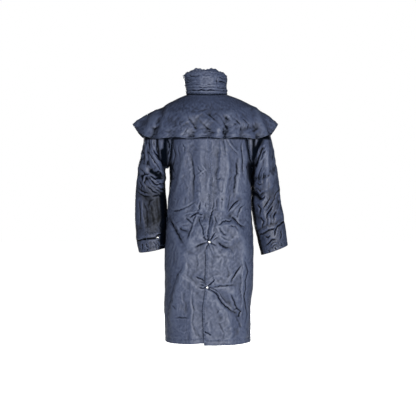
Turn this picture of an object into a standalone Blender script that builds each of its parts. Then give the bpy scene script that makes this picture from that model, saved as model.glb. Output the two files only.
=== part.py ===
"""A long raincoat with a shoulder cape, its hood rolled up inside the stand collar.

The coat keeps the hollow form that it has when it is worn. Every piece of cloth is a thin
closed wall, cut and sewn where a maker would cut and sew it: two backs with a lapped vent,
two lapped fronts, two sleeves with a tab at the cuff, a cape, and a collar of two layers
round the rolled hood. Snap fasteners close the vent, the fronts and the cuffs.

Metres, +Z up. The wearer faces -Y, so the back of the coat is at +Y and the wearer's left
is +X. The origin is the middle of the neck seam, at the height of the nape.
"""

import math
from collections import namedtuple

import bmesh
import bpy
import numpy as np
from mathutils import Vector
from mathutils.bvhtree import BVHTree

# Driving sizes ---------------------------------------------------------------------------

CLOTH = 0.0016  # coated cloth with its seam tape
SEAM_GAP = 0.0003  # between two pieces at a seam
LAYER_GAP = 0.0010  # between two pieces that lie on each other

HEM = -1.163  # heights, at the side of the coat
WAIST = -0.575
UNDERARM = -0.318
SHOULDER = -0.052
NECK = 0.004

ARMHOLE_REACH = 0.085  # half its width, front to back
ARMHOLE_STEPS = 10  # rows of each panel beside the armhole

VENT_TOP = -0.690
VENT_OVER = 0.055  # turns past the centre back, of the panel on top
VENT_UNDER = 0.130  # and of the one beneath
FRONT_LAP = 0.170  # turns past the centre front, of each front
LAP_LIFT = 0.0025  # each lapped layer stands this far from the shared form
LEFT_VENT_RISE = 0.014  # the left back's hem hangs higher beside the vent

CAPE_OPENING = 1.87  # the cape's front edges, in turns from the centre back
COLLAR_OPENING = 1.965

TAB_ROWS = 4  # rows of the sleeve under the tab at its cuff
LEFT_TAB = slice(3, 7)  # and the columns, at the back of the left sleeve
RIGHT_TAB = slice(14, 18)  # at the front of the right one

SNAP_RADIUS = 0.0070
SNAP_HEIGHT = 0.0030

NAVY = (0.085, 0.105, 0.165, 1.0)
NICKEL = (0.78, 0.78, 0.76, 1.0)

# Sections --------------------------------------------------------------------------------
# Each ring is level with its side, and dips or rises to its own height at the centre back
# and the centre front. "flatness" says how far round it keeps those heights.

Ring = namedtuple(
    "Ring",
    "at side back front half_width back_depth front_depth squareness flatness shift",
)

BODY_RINGS = (
    Ring(HEM, HEM, -1.165, -1.160, 0.2050, 0.165, 0.154, 2.5, 2, 0.001),
    Ring(-1.000, -1.000, -1.000, -1.000, 0.2060, 0.160, 0.150, 2.5, 2, 0.003),
    Ring(-0.900, -0.900, -0.900, -0.900, 0.2100, 0.160, 0.150, 2.5, 2, -0.004),
    Ring(-0.750, -0.750, -0.750, -0.750, 0.2120, 0.160, 0.148, 2.5, 2, -0.0055),
    Ring(-0.670, -0.670, -0.670, -0.670, 0.2080, 0.156, 0.145, 2.4, 2, -0.006),
    Ring(WAIST, WAIST, -0.575, -0.575, 0.2020, 0.147, 0.139, 2.4, 2, -0.005),
    Ring(-0.500, -0.500, -0.500, -0.500, 0.1990, 0.150, 0.142, 2.4, 2, -0.008),
    Ring(-0.400, -0.400, -0.400, -0.400, 0.1955, 0.153, 0.148, 2.4, 2, -0.012),
    Ring(UNDERARM, UNDERARM, -0.328, -0.328, 0.1950, 0.152, 0.150, 2.4, 2, -0.010),
    Ring(-0.200, -0.200, -0.225, -0.235, 0.1965, 0.148, 0.142, 2.4, 2, -0.006),
    Ring(-0.110, -0.110, -0.145, -0.175, 0.1990, 0.138, 0.130, 2.3, 2, -0.002),
    Ring(SHOULDER, SHOULDER, -0.094, -0.135, 0.2030, 0.123, 0.118, 2.2, 2, 0.000),
    Ring(-0.022, -0.022, -0.050, -0.105, 0.1500, 0.105, 0.102, 2.1, 2, 0.003),
    Ring(NECK, NECK, -0.004, -0.068, 0.0930, 0.087, 0.086, 2.1, 2, 0.006),
)

CAPE_RINGS = (
    Ring(0.00, 0.0100, 0.0016, -0.0620, 0.0970, 0.0905, 0.0895, 2.1, 2, 0.006),
    Ring(0.15, -0.006, -0.026, -0.088, 0.139, 0.110, 0.106, 2.1, 2, 0.002),
    Ring(0.35, -0.033, -0.070, -0.122, 0.195, 0.136, 0.126, 2.1, 2, 0.000),
    Ring(0.55, -0.061, -0.113, -0.155, 0.246, 0.152, 0.141, 2.2, 3, 0.001),
    Ring(0.75, -0.090, -0.157, -0.185, 0.298, 0.162, 0.152, 2.2, 5, 0.005),
    Ring(1.00, -0.127, -0.207, -0.216, 0.349, 0.170, 0.160, 2.2, 9, 0.012),
)

COLLAR_OUTER_RINGS = (
    Ring(0.00, 0.0118, 0.0034, -0.0600, 0.0965, 0.0905, 0.0895, 2.1, 2, 0.006),
    Ring(0.12, 0.022, 0.014, -0.051, 0.0985, 0.0940, 0.0910, 2.1, 2, 0.007),
    Ring(0.45, 0.050, 0.048, -0.022, 0.0985, 0.0955, 0.0920, 2.1, 2, 0.0095),
    Ring(0.75, 0.078, 0.083, 0.006, 0.1020, 0.0970, 0.0925, 2.1, 2, 0.0105),
    Ring(1.00, 0.101, 0.111, 0.028, 0.1065, 0.0950, 0.0905, 2.1, 2, 0.0155),
)

COLLAR_INNER_RINGS = (
    Ring(0.00, 0.0118, 0.0034, -0.0600, 0.0925, 0.0865, 0.0855, 2.1, 2, 0.006),
    Ring(0.20, 0.028, 0.022, -0.044, 0.0770, 0.0715, 0.0700, 2.1, 2, 0.008),
    Ring(1.00, 0.095, 0.103, 0.022, 0.0765, 0.0705, 0.0690, 2.1, 2, 0.015),
)

HOOD_RINGS = (
    Ring(0.00, 0.032, 0.026, -0.040, 0.0870, 0.0825, 0.0805, 2.1, 2, 0.008),
    Ring(0.50, 0.070, 0.072, -0.003, 0.0880, 0.0835, 0.0805, 2.1, 2, 0.0110),
    Ring(1.00, 0.109, 0.124, 0.036, 0.0915, 0.0825, 0.0795, 2.1, 4, 0.0155),
)
HOOD_HALF_THICKNESS = 0.0085

# A sleeve's ring is seen edge-on from behind, as a line from its inner to its outer point.
Cuff = namedtuple("Cuff", "at inner_x inner_z outer_x outer_z middle_y reach")

LEFT_SLEEVE = (
    Cuff(0.00, 0.190, UNDERARM, 0.205, SHOULDER, 0.000, ARMHOLE_REACH),
    Cuff(0.03, 0.1975, -0.3205, 0.246, -0.083, -0.002, 0.090),
    Cuff(0.06, 0.2035, -0.3260, 0.279, -0.124, -0.005, 0.093),
    Cuff(0.10, 0.2065, -0.336, 0.299, -0.170, -0.010, 0.092),
    Cuff(0.15, 0.2075, -0.356, 0.311, -0.225, -0.017, 0.089),
    Cuff(0.20, 0.2075, -0.384, 0.326, -0.287, -0.025, 0.085),
    Cuff(0.26, 0.2070, -0.427, 0.342, -0.355, -0.033, 0.081),
    Cuff(0.32, 0.2035, -0.474, 0.351, -0.425, -0.041, 0.078),
    Cuff(0.38, 0.1985, -0.527, 0.354, -0.500, -0.048, 0.076),
    Cuff(0.45, 0.1975, -0.590, 0.354, -0.580, -0.052, 0.074),
    Cuff(0.52, 0.2010, -0.657, 0.349, -0.655, -0.053, 0.072),
    Cuff(0.57, 0.2045, -0.703, 0.344, -0.711, -0.053, 0.071),
    Cuff(0.60, 0.2065, -0.726, 0.341, -0.741, -0.053, 0.070),
)

RIGHT_SLEEVE = (
    Cuff(0.00, 0.205, UNDERARM, 0.205, SHOULDER, 0.000, ARMHOLE_REACH),
    Cuff(0.03, 0.2085, -0.3205, 0.245, -0.083, -0.002, 0.090),
    Cuff(0.06, 0.2105, -0.3260, 0.277, -0.124, -0.006, 0.092),
    Cuff(0.10, 0.2115, -0.336, 0.296, -0.170, -0.012, 0.091),
    Cuff(0.15, 0.2120, -0.356, 0.311, -0.225, -0.020, 0.088),
    Cuff(0.20, 0.2120, -0.384, 0.323, -0.287, -0.028, 0.084),
    Cuff(0.26, 0.2110, -0.427, 0.336, -0.355, -0.036, 0.080),
    Cuff(0.32, 0.2105, -0.474, 0.346, -0.422, -0.042, 0.077),
    Cuff(0.38, 0.2125, -0.524, 0.352, -0.492, -0.046, 0.075),
    Cuff(0.45, 0.2205, -0.592, 0.366, -0.570, -0.049, 0.073),
    Cuff(0.52, 0.2370, -0.670, 0.3780, -0.642, -0.050, 0.072),
    Cuff(0.57, 0.2500, -0.724, 0.3840, -0.686, -0.050, 0.071),
    Cuff(0.60, 0.2595, -0.759, 0.3870, -0.708, -0.050, 0.070),
)

# Folds -----------------------------------------------------------------------------------
# A fold is a soft ridge, or a trough where its height is negative, along a line. On the
# body, cape and collar the line is seen square on from behind, or from the front.

Fold = namedtuple("Fold", "x0 z0 x1 z1 width height")

BACK_FOLDS = (
    # soft drapes that hang from the shoulders to the waist
    Fold(0.120, -0.215, 0.135, -0.520, 0.030, 0.007),
    Fold(0.078, -0.215, 0.072, -0.520, 0.026, -0.007),
    Fold(0.022, -0.215, 0.030, -0.520, 0.028, 0.006),
    Fold(-0.036, -0.215, -0.030, -0.540, 0.024, -0.007),
    Fold(-0.080, -0.215, -0.068, -0.530, 0.026, 0.007),
    Fold(-0.142, -0.240, -0.110, -0.520, 0.024, -0.008),
    Fold(-0.172, -0.215, -0.165, -0.520, 0.024, 0.005),
    # creases that run to the pinched waist
    Fold(0.080, -0.650, 0.046, -0.575, 0.020, -0.009),
    Fold(0.040, -0.600, 0.012, -0.672, 0.018, -0.006),
    Fold(0.160, -0.590, 0.100, -0.555, 0.020, 0.007),
    Fold(-0.112, -0.572, -0.166, -0.618, 0.020, -0.008),
    Fold(-0.104, -0.530, -0.142, -0.490, 0.020, -0.006),
    Fold(-0.130, -0.615, -0.150, -0.660, 0.022, 0.007),
    Fold(-0.045, -0.570, -0.062, -0.640, 0.022, 0.006),
    # troughs and ridges that fan out from the two snaps of the vent
    Fold(-0.045, -0.695, -0.110, -0.716, 0.024, -0.007),
    Fold(0.034, -0.668, 0.060, -0.632, 0.022, 0.005),
    Fold(0.036, -0.710, 0.080, -0.730, 0.022, -0.005),
    Fold(-0.046, -0.930, -0.150, -1.020, 0.026, -0.010),
    Fold(-0.050, -0.980, -0.120, -1.070, 0.026, 0.005),
    Fold(-0.112, -0.925, -0.142, -0.985, 0.026, 0.006),
    Fold(0.034, -0.872, 0.070, -0.842, 0.024, -0.005),
    # the skirt's long falls
    Fold(0.184, -0.585, 0.104, -0.720, 0.020, -0.009),
    Fold(0.104, -0.700, 0.150, -1.000, 0.036, 0.010),
    Fold(0.066, -0.930, 0.066, -1.150, 0.024, 0.005),
    Fold(-0.172, -0.690, -0.168, -1.130, 0.022, 0.008),
    Fold(-0.140, -0.700, -0.138, -0.880, 0.026, -0.005),
    Fold(-0.090, -1.060, -0.100, -1.150, 0.028, 0.006),
)

FRONT_FOLDS = (
    # drapes below the chest, the pinch at the waist and the falls of the skirt
    Fold(0.150, -0.300, 0.130, -0.540, 0.026, 0.006),
    Fold(0.095, -0.280, 0.085, -0.550, 0.022, -0.006),
    Fold(-0.085, -0.280, -0.100, -0.545, 0.024, -0.006),
    Fold(-0.150, -0.300, -0.135, -0.540, 0.024, 0.006),
    Fold(0.150, -0.620, 0.070, -0.560, 0.016, -0.007),
    Fold(-0.070, -0.560, -0.155, -0.610, 0.016, -0.007),
    Fold(0.090, -0.640, 0.130, -1.000, 0.034, 0.008),
    Fold(0.150, -0.800, 0.165, -1.140, 0.024, -0.006),
    Fold(-0.100, -0.640, -0.125, -1.050, 0.034, 0.008),
    Fold(-0.155, -0.760, -0.165, -1.140, 0.024, -0.006),
)

CAPE_BACK_FOLDS = (
    # the two creases where the cape turns off the back and over the arms
    Fold(0.216, -0.060, 0.262, -0.215, 0.016, -0.006),
    Fold(0.250, -0.075, 0.292, -0.200, 0.016, 0.005),
    Fold(-0.224, -0.052, -0.272, -0.200, 0.013, 0.006),
    Fold(-0.205, -0.075, -0.235, -0.205, 0.016, -0.004),
    # the shoulder blades show through, with a hollow between them
    Fold(0.105, -0.095, 0.125, -0.205, 0.030, 0.007),
    Fold(0.050, -0.120, 0.075, -0.210, 0.022, -0.004),
    Fold(-0.005, -0.060, 0.010, -0.210, 0.030, -0.005),
    Fold(-0.060, -0.100, -0.045, -0.210, 0.024, 0.005),
    Fold(-0.105, -0.095, -0.120, -0.200, 0.022, 0.006),
    Fold(-0.085, -0.120, -0.080, -0.210, 0.014, -0.004),
    Fold(-0.160, -0.165, -0.225, -0.150, 0.016, -0.004),
)

CAPE_FRONT_FOLDS = (
    Fold(0.215, -0.090, 0.255, -0.240, 0.018, -0.005),
    Fold(0.120, -0.130, 0.140, -0.250, 0.030, 0.006),
    Fold(-0.120, -0.130, -0.140, -0.250, 0.030, 0.006),
    Fold(-0.215, -0.090, -0.255, -0.240, 0.018, -0.005),
)

COLLAR_FOLDS = (
    # ridges that the rolled hood pushes out, one above another
    Fold(-0.100, 0.014, 0.100, 0.018, 0.0042, 0.0022),
    Fold(-0.100, 0.031, 0.070, 0.030, 0.0044, 0.0026),
    Fold(-0.070, 0.047, 0.100, 0.045, 0.0048, 0.0020),
    Fold(0.060, 0.064, 0.110, 0.058, 0.0050, 0.0026),
    Fold(-0.110, 0.060, -0.040, 0.066, 0.0060, -0.0020),
    Fold(0.095, 0.082, 0.045, 0.090, 0.0060, -0.0022),
)

# On a sleeve a fold runs from one place round it, in degrees from its inner line by way of
# the back, and one distance down it, in metres, to another.
Crease = namedtuple("Crease", "turn0 down0 turn1 down1 width height")

LEFT_CREASES = (
    Crease(100, 0.090, 74, 0.140, 0.034, 0.006),  # the band that crosses to the elbow
    Crease(60, 0.160, 18, 0.185, 0.040, 0.007),
    Crease(110, 0.200, 52, 0.222, 0.026, -0.008),
    Crease(125, 0.272, 60, 0.258, 0.022, -0.007),
    Crease(160, 0.240, 120, 0.235, 0.022, 0.005),
    Crease(150, 0.310, 112, 0.350, 0.022, -0.005),
    Crease(112, 0.385, 110, 0.455, 0.022, -0.005),
    Crease(148, 0.370, 146, 0.460, 0.024, 0.005),
    Crease(66, 0.340, 72, 0.430, 0.024, 0.005),
    Crease(105, 0.488, 24, 0.458, 0.022, 0.005),
    Crease(230, 0.120, 300, 0.190, 0.022, -0.007),
    Crease(210, 0.185, 290, 0.235, 0.022, 0.006),
    Crease(220, 0.268, 310, 0.285, 0.022, -0.007),
    Crease(235, 0.340, 250, 0.460, 0.024, 0.005),
    Crease(290, 0.350, 285, 0.450, 0.024, -0.005),
)

RIGHT_CREASES = (
    Crease(60, 0.100, 38, 0.145, 0.034, -0.005),
    Crease(88, 0.095, 62, 0.175, 0.036, 0.005),
    Crease(112, 0.110, 106, 0.310, 0.026, 0.007),
    Crease(38, 0.225, 88, 0.248, 0.022, -0.007),
    Crease(155, 0.240, 120, 0.248, 0.022, -0.005),
    Crease(25, 0.300, 60, 0.335, 0.022, -0.006),
    Crease(118, 0.345, 100, 0.425, 0.022, -0.006),
    Crease(66, 0.360, 76, 0.430, 0.024, 0.006),
    Crease(45, 0.475, 150, 0.445, 0.022, 0.006),
    Crease(230, 0.120, 300, 0.190, 0.022, -0.007),
    Crease(210, 0.195, 290, 0.230, 0.022, 0.006),
    Crease(215, 0.268, 310, 0.278, 0.022, -0.007),
    Crease(240, 0.340, 252, 0.440, 0.024, 0.005),
    Crease(285, 0.350, 280, 0.440, 0.024, -0.005),
)

WAIST_PINCH = 0.005  # the drawn-in waist, all round
WAIST_BAND = 0.022
WAIST_GATHERS = 12  # round the coat, where the drawn cloth bunches up
GATHER_HEIGHT = 0.0030


def between(rows, name, at):
    """A column of a table of sections, read at any place along it without overshooting."""
    x = np.array([row.at for row in rows])
    y = np.array([getattr(row, name) for row in rows])
    step = np.diff(y) / np.diff(x)
    same_way = step[:-1] * step[1:] > 0
    total = np.where(same_way, step[:-1] + step[1:], 1.0)
    inner = np.where(same_way, 2 * step[:-1] * step[1:] / total, 0.0)
    slope = np.concatenate([step[:1], inner, step[-1:]])
    i = np.clip(np.searchsorted(x, at) - 1, 0, len(x) - 2)
    span = x[i + 1] - x[i]
    u = (at - x[i]) / span
    return (
        y[i] * (1 + 2 * u) * (1 - u) ** 2
        + y[i + 1] * u**2 * (3 - 2 * u)
        + span * u * (1 - u) * (slope[i] * (1 - u) - slope[i + 1] * u)
    )


def ramp(value, start, end):
    """0 before start, 1 after end, and a smooth step between them."""
    u = np.clip((value - start) / (end - start), 0, 1)
    return u * u * (3 - 2 * u)


def relief(folds, x, z):
    """How far the folds push the cloth out at the places (x, z) of their own drawing."""
    out = np.zeros(np.broadcast(x, z).shape)
    for x0, z0, x1, z1, width, height in folds:
        length = math.hypot(x1 - x0, z1 - z0)
        along = ((x - x0) * (x1 - x0) + (z - z0) * (z1 - z0)) / length**2
        along = np.clip(along, 0, 1)
        away = np.hypot(x - x0 - along * (x1 - x0), z - z0 - along * (z1 - z0))
        out += height * np.exp(-((away / width) ** 2))
    return out


def ring_point(rings, at, turn, raised=None):
    """A point on a lofted form. turn is 0 at the centre back, 1 at the left side, 2 at the
    centre front and negative on the right. raised(x, z, at_back) pushes the point out."""
    at, turn = np.broadcast_arrays(np.asarray(at, float), np.asarray(turn, float))
    across, along = np.sin(turn * math.pi / 2), np.cos(turn * math.pi / 2)
    at_back = np.abs(turn) <= 1
    half = between(rings, "half_width", at)
    depth = np.where(
        at_back, between(rings, "back_depth", at), between(rings, "front_depth", at)
    )
    power = between(rings, "squareness", at)
    radius = (
        (np.abs(across) / half) ** power + (np.abs(along) / depth) ** power
    ) ** (-1 / power)
    side = between(rings, "side", at)
    end = np.where(at_back, between(rings, "back", at), between(rings, "front", at))
    outwards = np.abs(radius * across) / half
    z = end + (side - end) * outwards ** between(rings, "flatness", at)
    shift = between(rings, "shift", at)
    if raised is not None:
        radius = radius + raised(shift + radius * across, z, at_back)
    return np.stack([shift + radius * across, radius * along, z], axis=-1)


def normals_of(surface, u, v, step=1e-4):
    """Unit normals of surface(u, v) at a grid of places, away from their middle."""
    along_u = surface(u + step, v) - surface(u - step, v)
    along_v = surface(u, v + step) - surface(u, v - step)
    normal = np.cross(along_u, along_v)
    normal /= np.linalg.norm(normal, axis=-1, keepdims=True)
    points = surface(u, v)
    middle = points.reshape(-1, 3).mean(axis=0)
    return normal * np.sign(np.sum(normal * (points - middle)))


def material(name, colour, roughness, metallic):
    made = bpy.data.materials.new(name)
    made.diffuse_color = colour
    made.use_nodes = True
    shader = made.node_tree.nodes["Principled BSDF"]
    shader.inputs["Base Color"].default_value = colour
    shader.inputs["Roughness"].default_value = roughness
    shader.inputs["Metallic"].default_value = metallic
    return made


def add_object(name, mesh, finish):
    """Links a mesh whose faces are made to point out, and shades it smooth."""
    body = bmesh.new()
    body.from_mesh(mesh)
    bmesh.ops.recalc_face_normals(body, faces=body.faces)
    body.to_mesh(mesh)
    body.free()
    mesh.shade_smooth()
    mesh.set_sharp_from_angle(angle=math.radians(40))
    mesh.materials.append(finish)
    made = bpy.data.objects.new(name, mesh)
    bpy.context.scene.collection.objects.link(made)
    return made


def pulled_back(points, edges):
    """The grid with each named edge moved half a seam gap back into its own piece."""
    points = points.copy()
    for edge, inner in edges:
        inwards = points[inner] - points[edge]
        inwards /= np.linalg.norm(inwards, axis=-1, keepdims=True)
        points[edge] += inwards * SEAM_GAP / 2
    return points


FIRST_ROW, LAST_ROW = (np.s_[0], np.s_[1]), (np.s_[-1], np.s_[-2])
FIRST_COLUMN, LAST_COLUMN = (np.s_[:, 0], np.s_[:, 1]), (np.s_[:, -1], np.s_[:, -2])


def cloth_wall(name, points, outwards, finish, tube=False, thickness=CLOTH):
    """A closed wall over a grid of middle points, half its thickness to either side along
    outwards. A tube's columns close on themselves."""
    rows, columns = points.shape[:2]
    outer = points + outwards * thickness / 2
    inner = points - outwards * thickness / 2
    count = rows * columns
    grid = np.arange(count).reshape(rows, columns)
    if tube:
        grid = np.concatenate([grid, grid[:, :1]], axis=1)
    cell = [grid[:-1, :-1], grid[:-1, 1:], grid[1:, 1:], grid[1:, :-1]]
    skin = np.stack(cell, axis=-1).reshape(-1, 4)
    faces = [skin, skin[:, ::-1] + count]
    rims = [grid[0], grid[-1][::-1]]
    if not tube:
        rims += [grid[:, -1], grid[::-1, 0]]
    corners = np.concatenate([outer.reshape(-1, 3), inner.reshape(-1, 3)])
    height = points[..., 2].reshape(-1)
    for rim in rims:
        a, b = rim[:-1], rim[1:]
        strip = np.stack([b, a, a + count, b + count], axis=-1)
        falls = height[a] > height[b]  # both walls of a seam split their rims alike
        strip[falls] = np.roll(strip[falls], -1, axis=1)
        faces.append(strip)
    mesh = bpy.data.meshes.new(name)
    mesh.from_pydata(corners.tolist(), [], np.concatenate(faces).tolist())
    return add_object(name, mesh, finish)


# Body ------------------------------------------------------------------------------------


def armhole_levels():
    phase = np.linspace(0, math.pi, ARMHOLE_STEPS + 1)
    return (UNDERARM + SHOULDER) / 2 + (UNDERARM - SHOULDER) / 2 * np.cos(phase)


def body_levels():
    """Rows of every body panel, closest together at the waist and beside the armhole."""
    return np.concatenate(
        [
            np.linspace(HEM, -0.740, 12, endpoint=False),
            np.linspace(-0.740, -0.500, 11, endpoint=False),
            np.linspace(-0.500, -0.340, 5, endpoint=False),
            [-0.340, -0.326],
            armhole_levels(),
            np.linspace(SHOULDER, NECK, 4)[1:],
        ]
    )


def body_relief(x, z, at_back):
    """Folds, the pinched waist and the small gathers in it."""
    folds = np.where(at_back, relief(BACK_FOLDS, x, z), relief(FRONT_FOLDS, x, z))
    band = np.exp(-(((z - WAIST) / WAIST_BAND) ** 2) - (x / 0.170) ** 8)
    gathers = np.cos(x * WAIST_GATHERS * math.pi / 0.4) * (1 - np.exp(-((x / 0.070) ** 4)))
    return folds - WAIST_PINCH * band + GATHER_HEIGHT * gathers * band


def body_surface(lap=0.0, vent=0.0):
    """The coat's body as a function of level and turn. lap lifts the cloth along the centre
    front, and vent along the centre back below the top of the vent."""

    def raised(x, z, at_back):
        centre = np.exp(-((x / 0.060) ** 4))
        open_vent = ramp(z, VENT_TOP + 0.030, VENT_TOP + 0.002)
        lift = np.where(at_back, vent * open_vent, lap) * centre
        return body_relief(x, z, at_back) + lift

    return lambda level, turn: ring_point(BODY_RINGS, level, turn, raised)


def armhole_turn(level, at_back):
    """Where a panel's side edge lies: at the side seam, or round the armhole's oval."""
    middle, half = (UNDERARM + SHOULDER) / 2, (SHOULDER - UNDERARM) / 2
    reach = ARMHOLE_REACH * np.sqrt(np.clip(1 - ((level - middle) / half) ** 2, 0, 1))
    width = between(BODY_RINGS, "half_width", level)
    depth = between(BODY_RINGS, "back_depth" if at_back else "front_depth", level)
    power = between(BODY_RINGS, "squareness", level)
    out = width * (1 - (reach / depth) ** power) ** (1 / power)
    return np.arctan2(out, reach if at_back else -reach) * 2 / math.pi


def armhole_loop(side):
    """Points and body normals round an armhole, from the underarm by way of the back."""
    levels = armhole_levels()
    back_turn = side * armhole_turn(levels, True)
    front_turn = side * armhole_turn(levels, False)
    level = np.concatenate([levels, levels[-2:0:-1]])
    turn = np.concatenate([back_turn, front_turn[-2:0:-1]])
    surface = body_surface()
    return surface(level, turn), normals_of(surface, level, turn)


def armhole_mitre(side, rows):
    """The direction of both walls' edges at the armhole: halfway between the body's normal
    and the sleeve's, and long enough that both walls keep their thickness."""
    _, body_normal = armhole_loop(side)
    surface = sleeve_surface(side, rows)
    phase = sleeve_phases()
    start = np.full(phase.shape, 1e-4)
    sleeve_normal = normals_of(surface, start, phase)
    middle = body_normal + sleeve_normal
    middle /= np.linalg.norm(middle, axis=-1, keepdims=True)
    lean = np.sum(middle * body_normal, axis=-1, keepdims=True)
    return middle / np.clip(lean, 0.6, 1)


def body_panel(name, side, at_back, columns, surface, centre_turn, finish, mitre, rise=0.0):
    """One back or front, from its centre edge to its side seam and armhole. rise lifts its
    hem beside the centre edge."""
    levels = body_levels()
    edge = np.where(
        (levels > UNDERARM) & (levels < SHOULDER), armhole_turn(levels, at_back), 1.0
    )
    share = np.linspace(0, 1, columns)[None, :]
    centre = centre_turn(levels)[:, None]
    turn = side * (centre + (edge[:, None] - centre) * share)
    level = np.broadcast_to(levels[:, None], turn.shape)
    lower = ramp(level, VENT_TOP, HEM) * (1 - share) ** 2
    level = level + rise * lower
    points = surface(level, turn)
    outwards = normals_of(surface, level, turn)
    beside = slice(
        int(np.argmin(np.abs(levels - UNDERARM))),
        int(np.argmin(np.abs(levels - SHOULDER))) + 1,
    )
    steps = ARMHOLE_STEPS
    outwards[beside, -1] = mitre[: steps + 1] if at_back else mitre[-np.arange(steps + 1)]
    edges = [LAST_COLUMN, LAST_ROW]
    if at_back:
        edges.append(FIRST_COLUMN)
    return cloth_wall(name, pulled_back(points, edges), outwards, finish)


# Sleeves ---------------------------------------------------------------------------------


def sleeve_phases():
    return np.linspace(0, 2 * math.pi, 2 * ARMHOLE_STEPS, endpoint=False)


def sleeve_surface(side, rows):
    """A sleeve as a function of the distance down it and the angle round it. It starts on
    the armhole's own loop and eases into its round sections."""
    creases = LEFT_CREASES if side > 0 else RIGHT_CREASES
    loop, _ = armhole_loop(side)
    loop = np.concatenate([loop, loop[:1]])
    knots = np.linspace(0, 2 * math.pi, len(loop))

    def place(down, phase):
        down, phase = np.broadcast_arrays(down, phase)
        phase = np.mod(phase, 2 * math.pi)
        inner_x, inner_z = between(rows, "inner_x", down), between(rows, "inner_z", down)
        outer_x, outer_z = between(rows, "outer_x", down), between(rows, "outer_z", down)
        half = np.hypot(outer_x - inner_x, outer_z - inner_z) / 2
        width = np.degrees(phase)
        metres_per_degree = 0.075 * math.pi / 180
        drawn = [
            Fold(
                c.turn0 * metres_per_degree,
                c.down0,
                c.turn1 * metres_per_degree,
                c.down1,
                c.width,
                c.height,
            )
            for c in creases
        ]
        pushed = relief(drawn, width * metres_per_degree, down)
        # the sections fan out from the underarm, where the cloth has no room for folds
        fade = ramp(down, 0.0, 0.06 + 0.06 * (1 + np.cos(phase)))
        grow = 1 + pushed * fade / half
        outwards = -np.cos(phase) * grow
        backwards = np.sin(phase) * grow
        middle_x, middle_z = (inner_x + outer_x) / 2, (inner_z + outer_z) / 2
        ring = np.stack(
            [
                side * (middle_x + (outer_x - inner_x) / 2 * outwards),
                between(rows, "middle_y", down) + between(rows, "reach", down) * backwards,
                middle_z + (outer_z - inner_z) / 2 * outwards,
            ],
            axis=-1,
        )
        seam = np.stack([np.interp(phase, knots, loop[:, k]) for k in range(3)], axis=-1)
        ease = ramp(down, 0.0, 0.09)[..., None]
        start = seam + np.stack([side * down, 0 * down, 0 * down], axis=-1)
        return start * (1 - ease) + ring * ease

    return place


def sleeve_downs():
    return np.concatenate(
        [
            np.linspace(0, 0.27, 14, endpoint=False),
            np.linspace(0.27, 0.48, 9, endpoint=False),
            np.linspace(0.48, 0.60, 5),
        ]
    )


def sleeve(name, side, rows, finish, mitre):
    surface = sleeve_surface(side, rows)
    phase = sleeve_phases()[None, :]
    down = sleeve_downs()[:, None]
    points = surface(down, phase)
    outwards = normals_of(surface, np.maximum(down, 1e-4), phase)
    points[0], _ = armhole_loop(side)
    outwards[0] = mitre
    points[0] += np.array([side * SEAM_GAP, 0, 0])
    made = cloth_wall(name, points, outwards, finish, tube=True)
    return made, points, outwards


def cuff_tab(name, points, outwards, columns, finish):
    """The overlap at the cuff, made from the sleeve's own points moved out."""
    rows = slice(-TAB_ROWS, None)
    away = outwards[rows, columns]
    lifted = points[rows, columns] + away * (CLOTH + LAYER_GAP)
    return cloth_wall(name, lifted, away, finish)


# Cape and collar -------------------------------------------------------------------------


def cape_relief(x, z, at_back):
    return np.where(
        at_back, relief(CAPE_BACK_FOLDS, x, z), relief(CAPE_FRONT_FOLDS, x, z)
    )


def evenly(surface, half_turn, columns):
    """Turns that lie evenly along the far edge of a band."""
    fine = np.linspace(-half_turn, half_turn, 400)
    edge = surface(1.0, fine)
    run = np.cumsum(np.linalg.norm(np.diff(edge, axis=0), axis=1))
    run = np.concatenate([[0.0], run])
    return np.interp(np.linspace(0, run[-1], columns), run, fine)


def band(name, rings, steps, half_turn, columns, finish, raised=None, edges=()):
    """A strip of cloth lofted round the neck or the shoulders, open at the front."""

    def surface(a, t):
        return ring_point(rings, a, t, raised)

    at = np.linspace(0, 1, steps)[:, None]
    turn = evenly(surface, half_turn, columns)[None, :]
    points = surface(at, turn)
    outwards = normals_of(surface, at + 0 * turn, turn + 0 * at)
    return cloth_wall(name, pulled_back(points, edges), outwards, finish)


def collar_relief(x, z, at_back):
    return np.where(at_back, relief(COLLAR_FOLDS, x, z), 0.0)


def rolled_hood(name, finish, columns=33, corners=10):
    """The hood, rolled into one soft ring between the collar's two layers. Its top is
    creased into three layers of cloth."""
    turn = np.linspace(-COLLAR_OPENING + 0.03, COLLAR_OPENING - 0.03, columns)
    angle = np.linspace(0, 2 * math.pi, corners, endpoint=False)
    up = 0.5 - 0.5 * np.cos(angle)
    thick = HOOD_HALF_THICKNESS * np.sign(np.sin(angle)) * np.abs(np.sin(angle)) ** 0.5
    up_grid = up[None, :] + 0 * turn[:, None]
    crumple = 0.035 * np.sin(turn * 11 - 1.5)[:, None] * (up_grid > 0.6)
    middle = ring_point(HOOD_RINGS, up_grid + crumple, turn[:, None] + 0 * up_grid)
    centre_x = between(HOOD_RINGS, "shift", up_grid)
    outwards = middle - np.stack([centre_x, 0 * up_grid, middle[..., 2]], axis=-1)
    outwards /= np.linalg.norm(outwards, axis=-1, keepdims=True)
    points = middle + outwards * (thick[None, :, None])
    count = columns * corners
    grid = np.arange(count).reshape(columns, corners)
    ring = np.concatenate([grid, grid[:, :1]], axis=1)
    cell = [ring[:-1, :-1], ring[:-1, 1:], ring[1:, 1:], ring[1:, :-1]]
    faces = np.stack(cell, axis=-1).reshape(-1, 4).tolist()
    faces += [grid[0].tolist(), grid[-1][::-1].tolist()]
    mesh = bpy.data.meshes.new(name)
    mesh.from_pydata(points.reshape(-1, 3).tolist(), [], faces)
    return add_object(name, mesh, finish)


# Snap fasteners --------------------------------------------------------------------------

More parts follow.
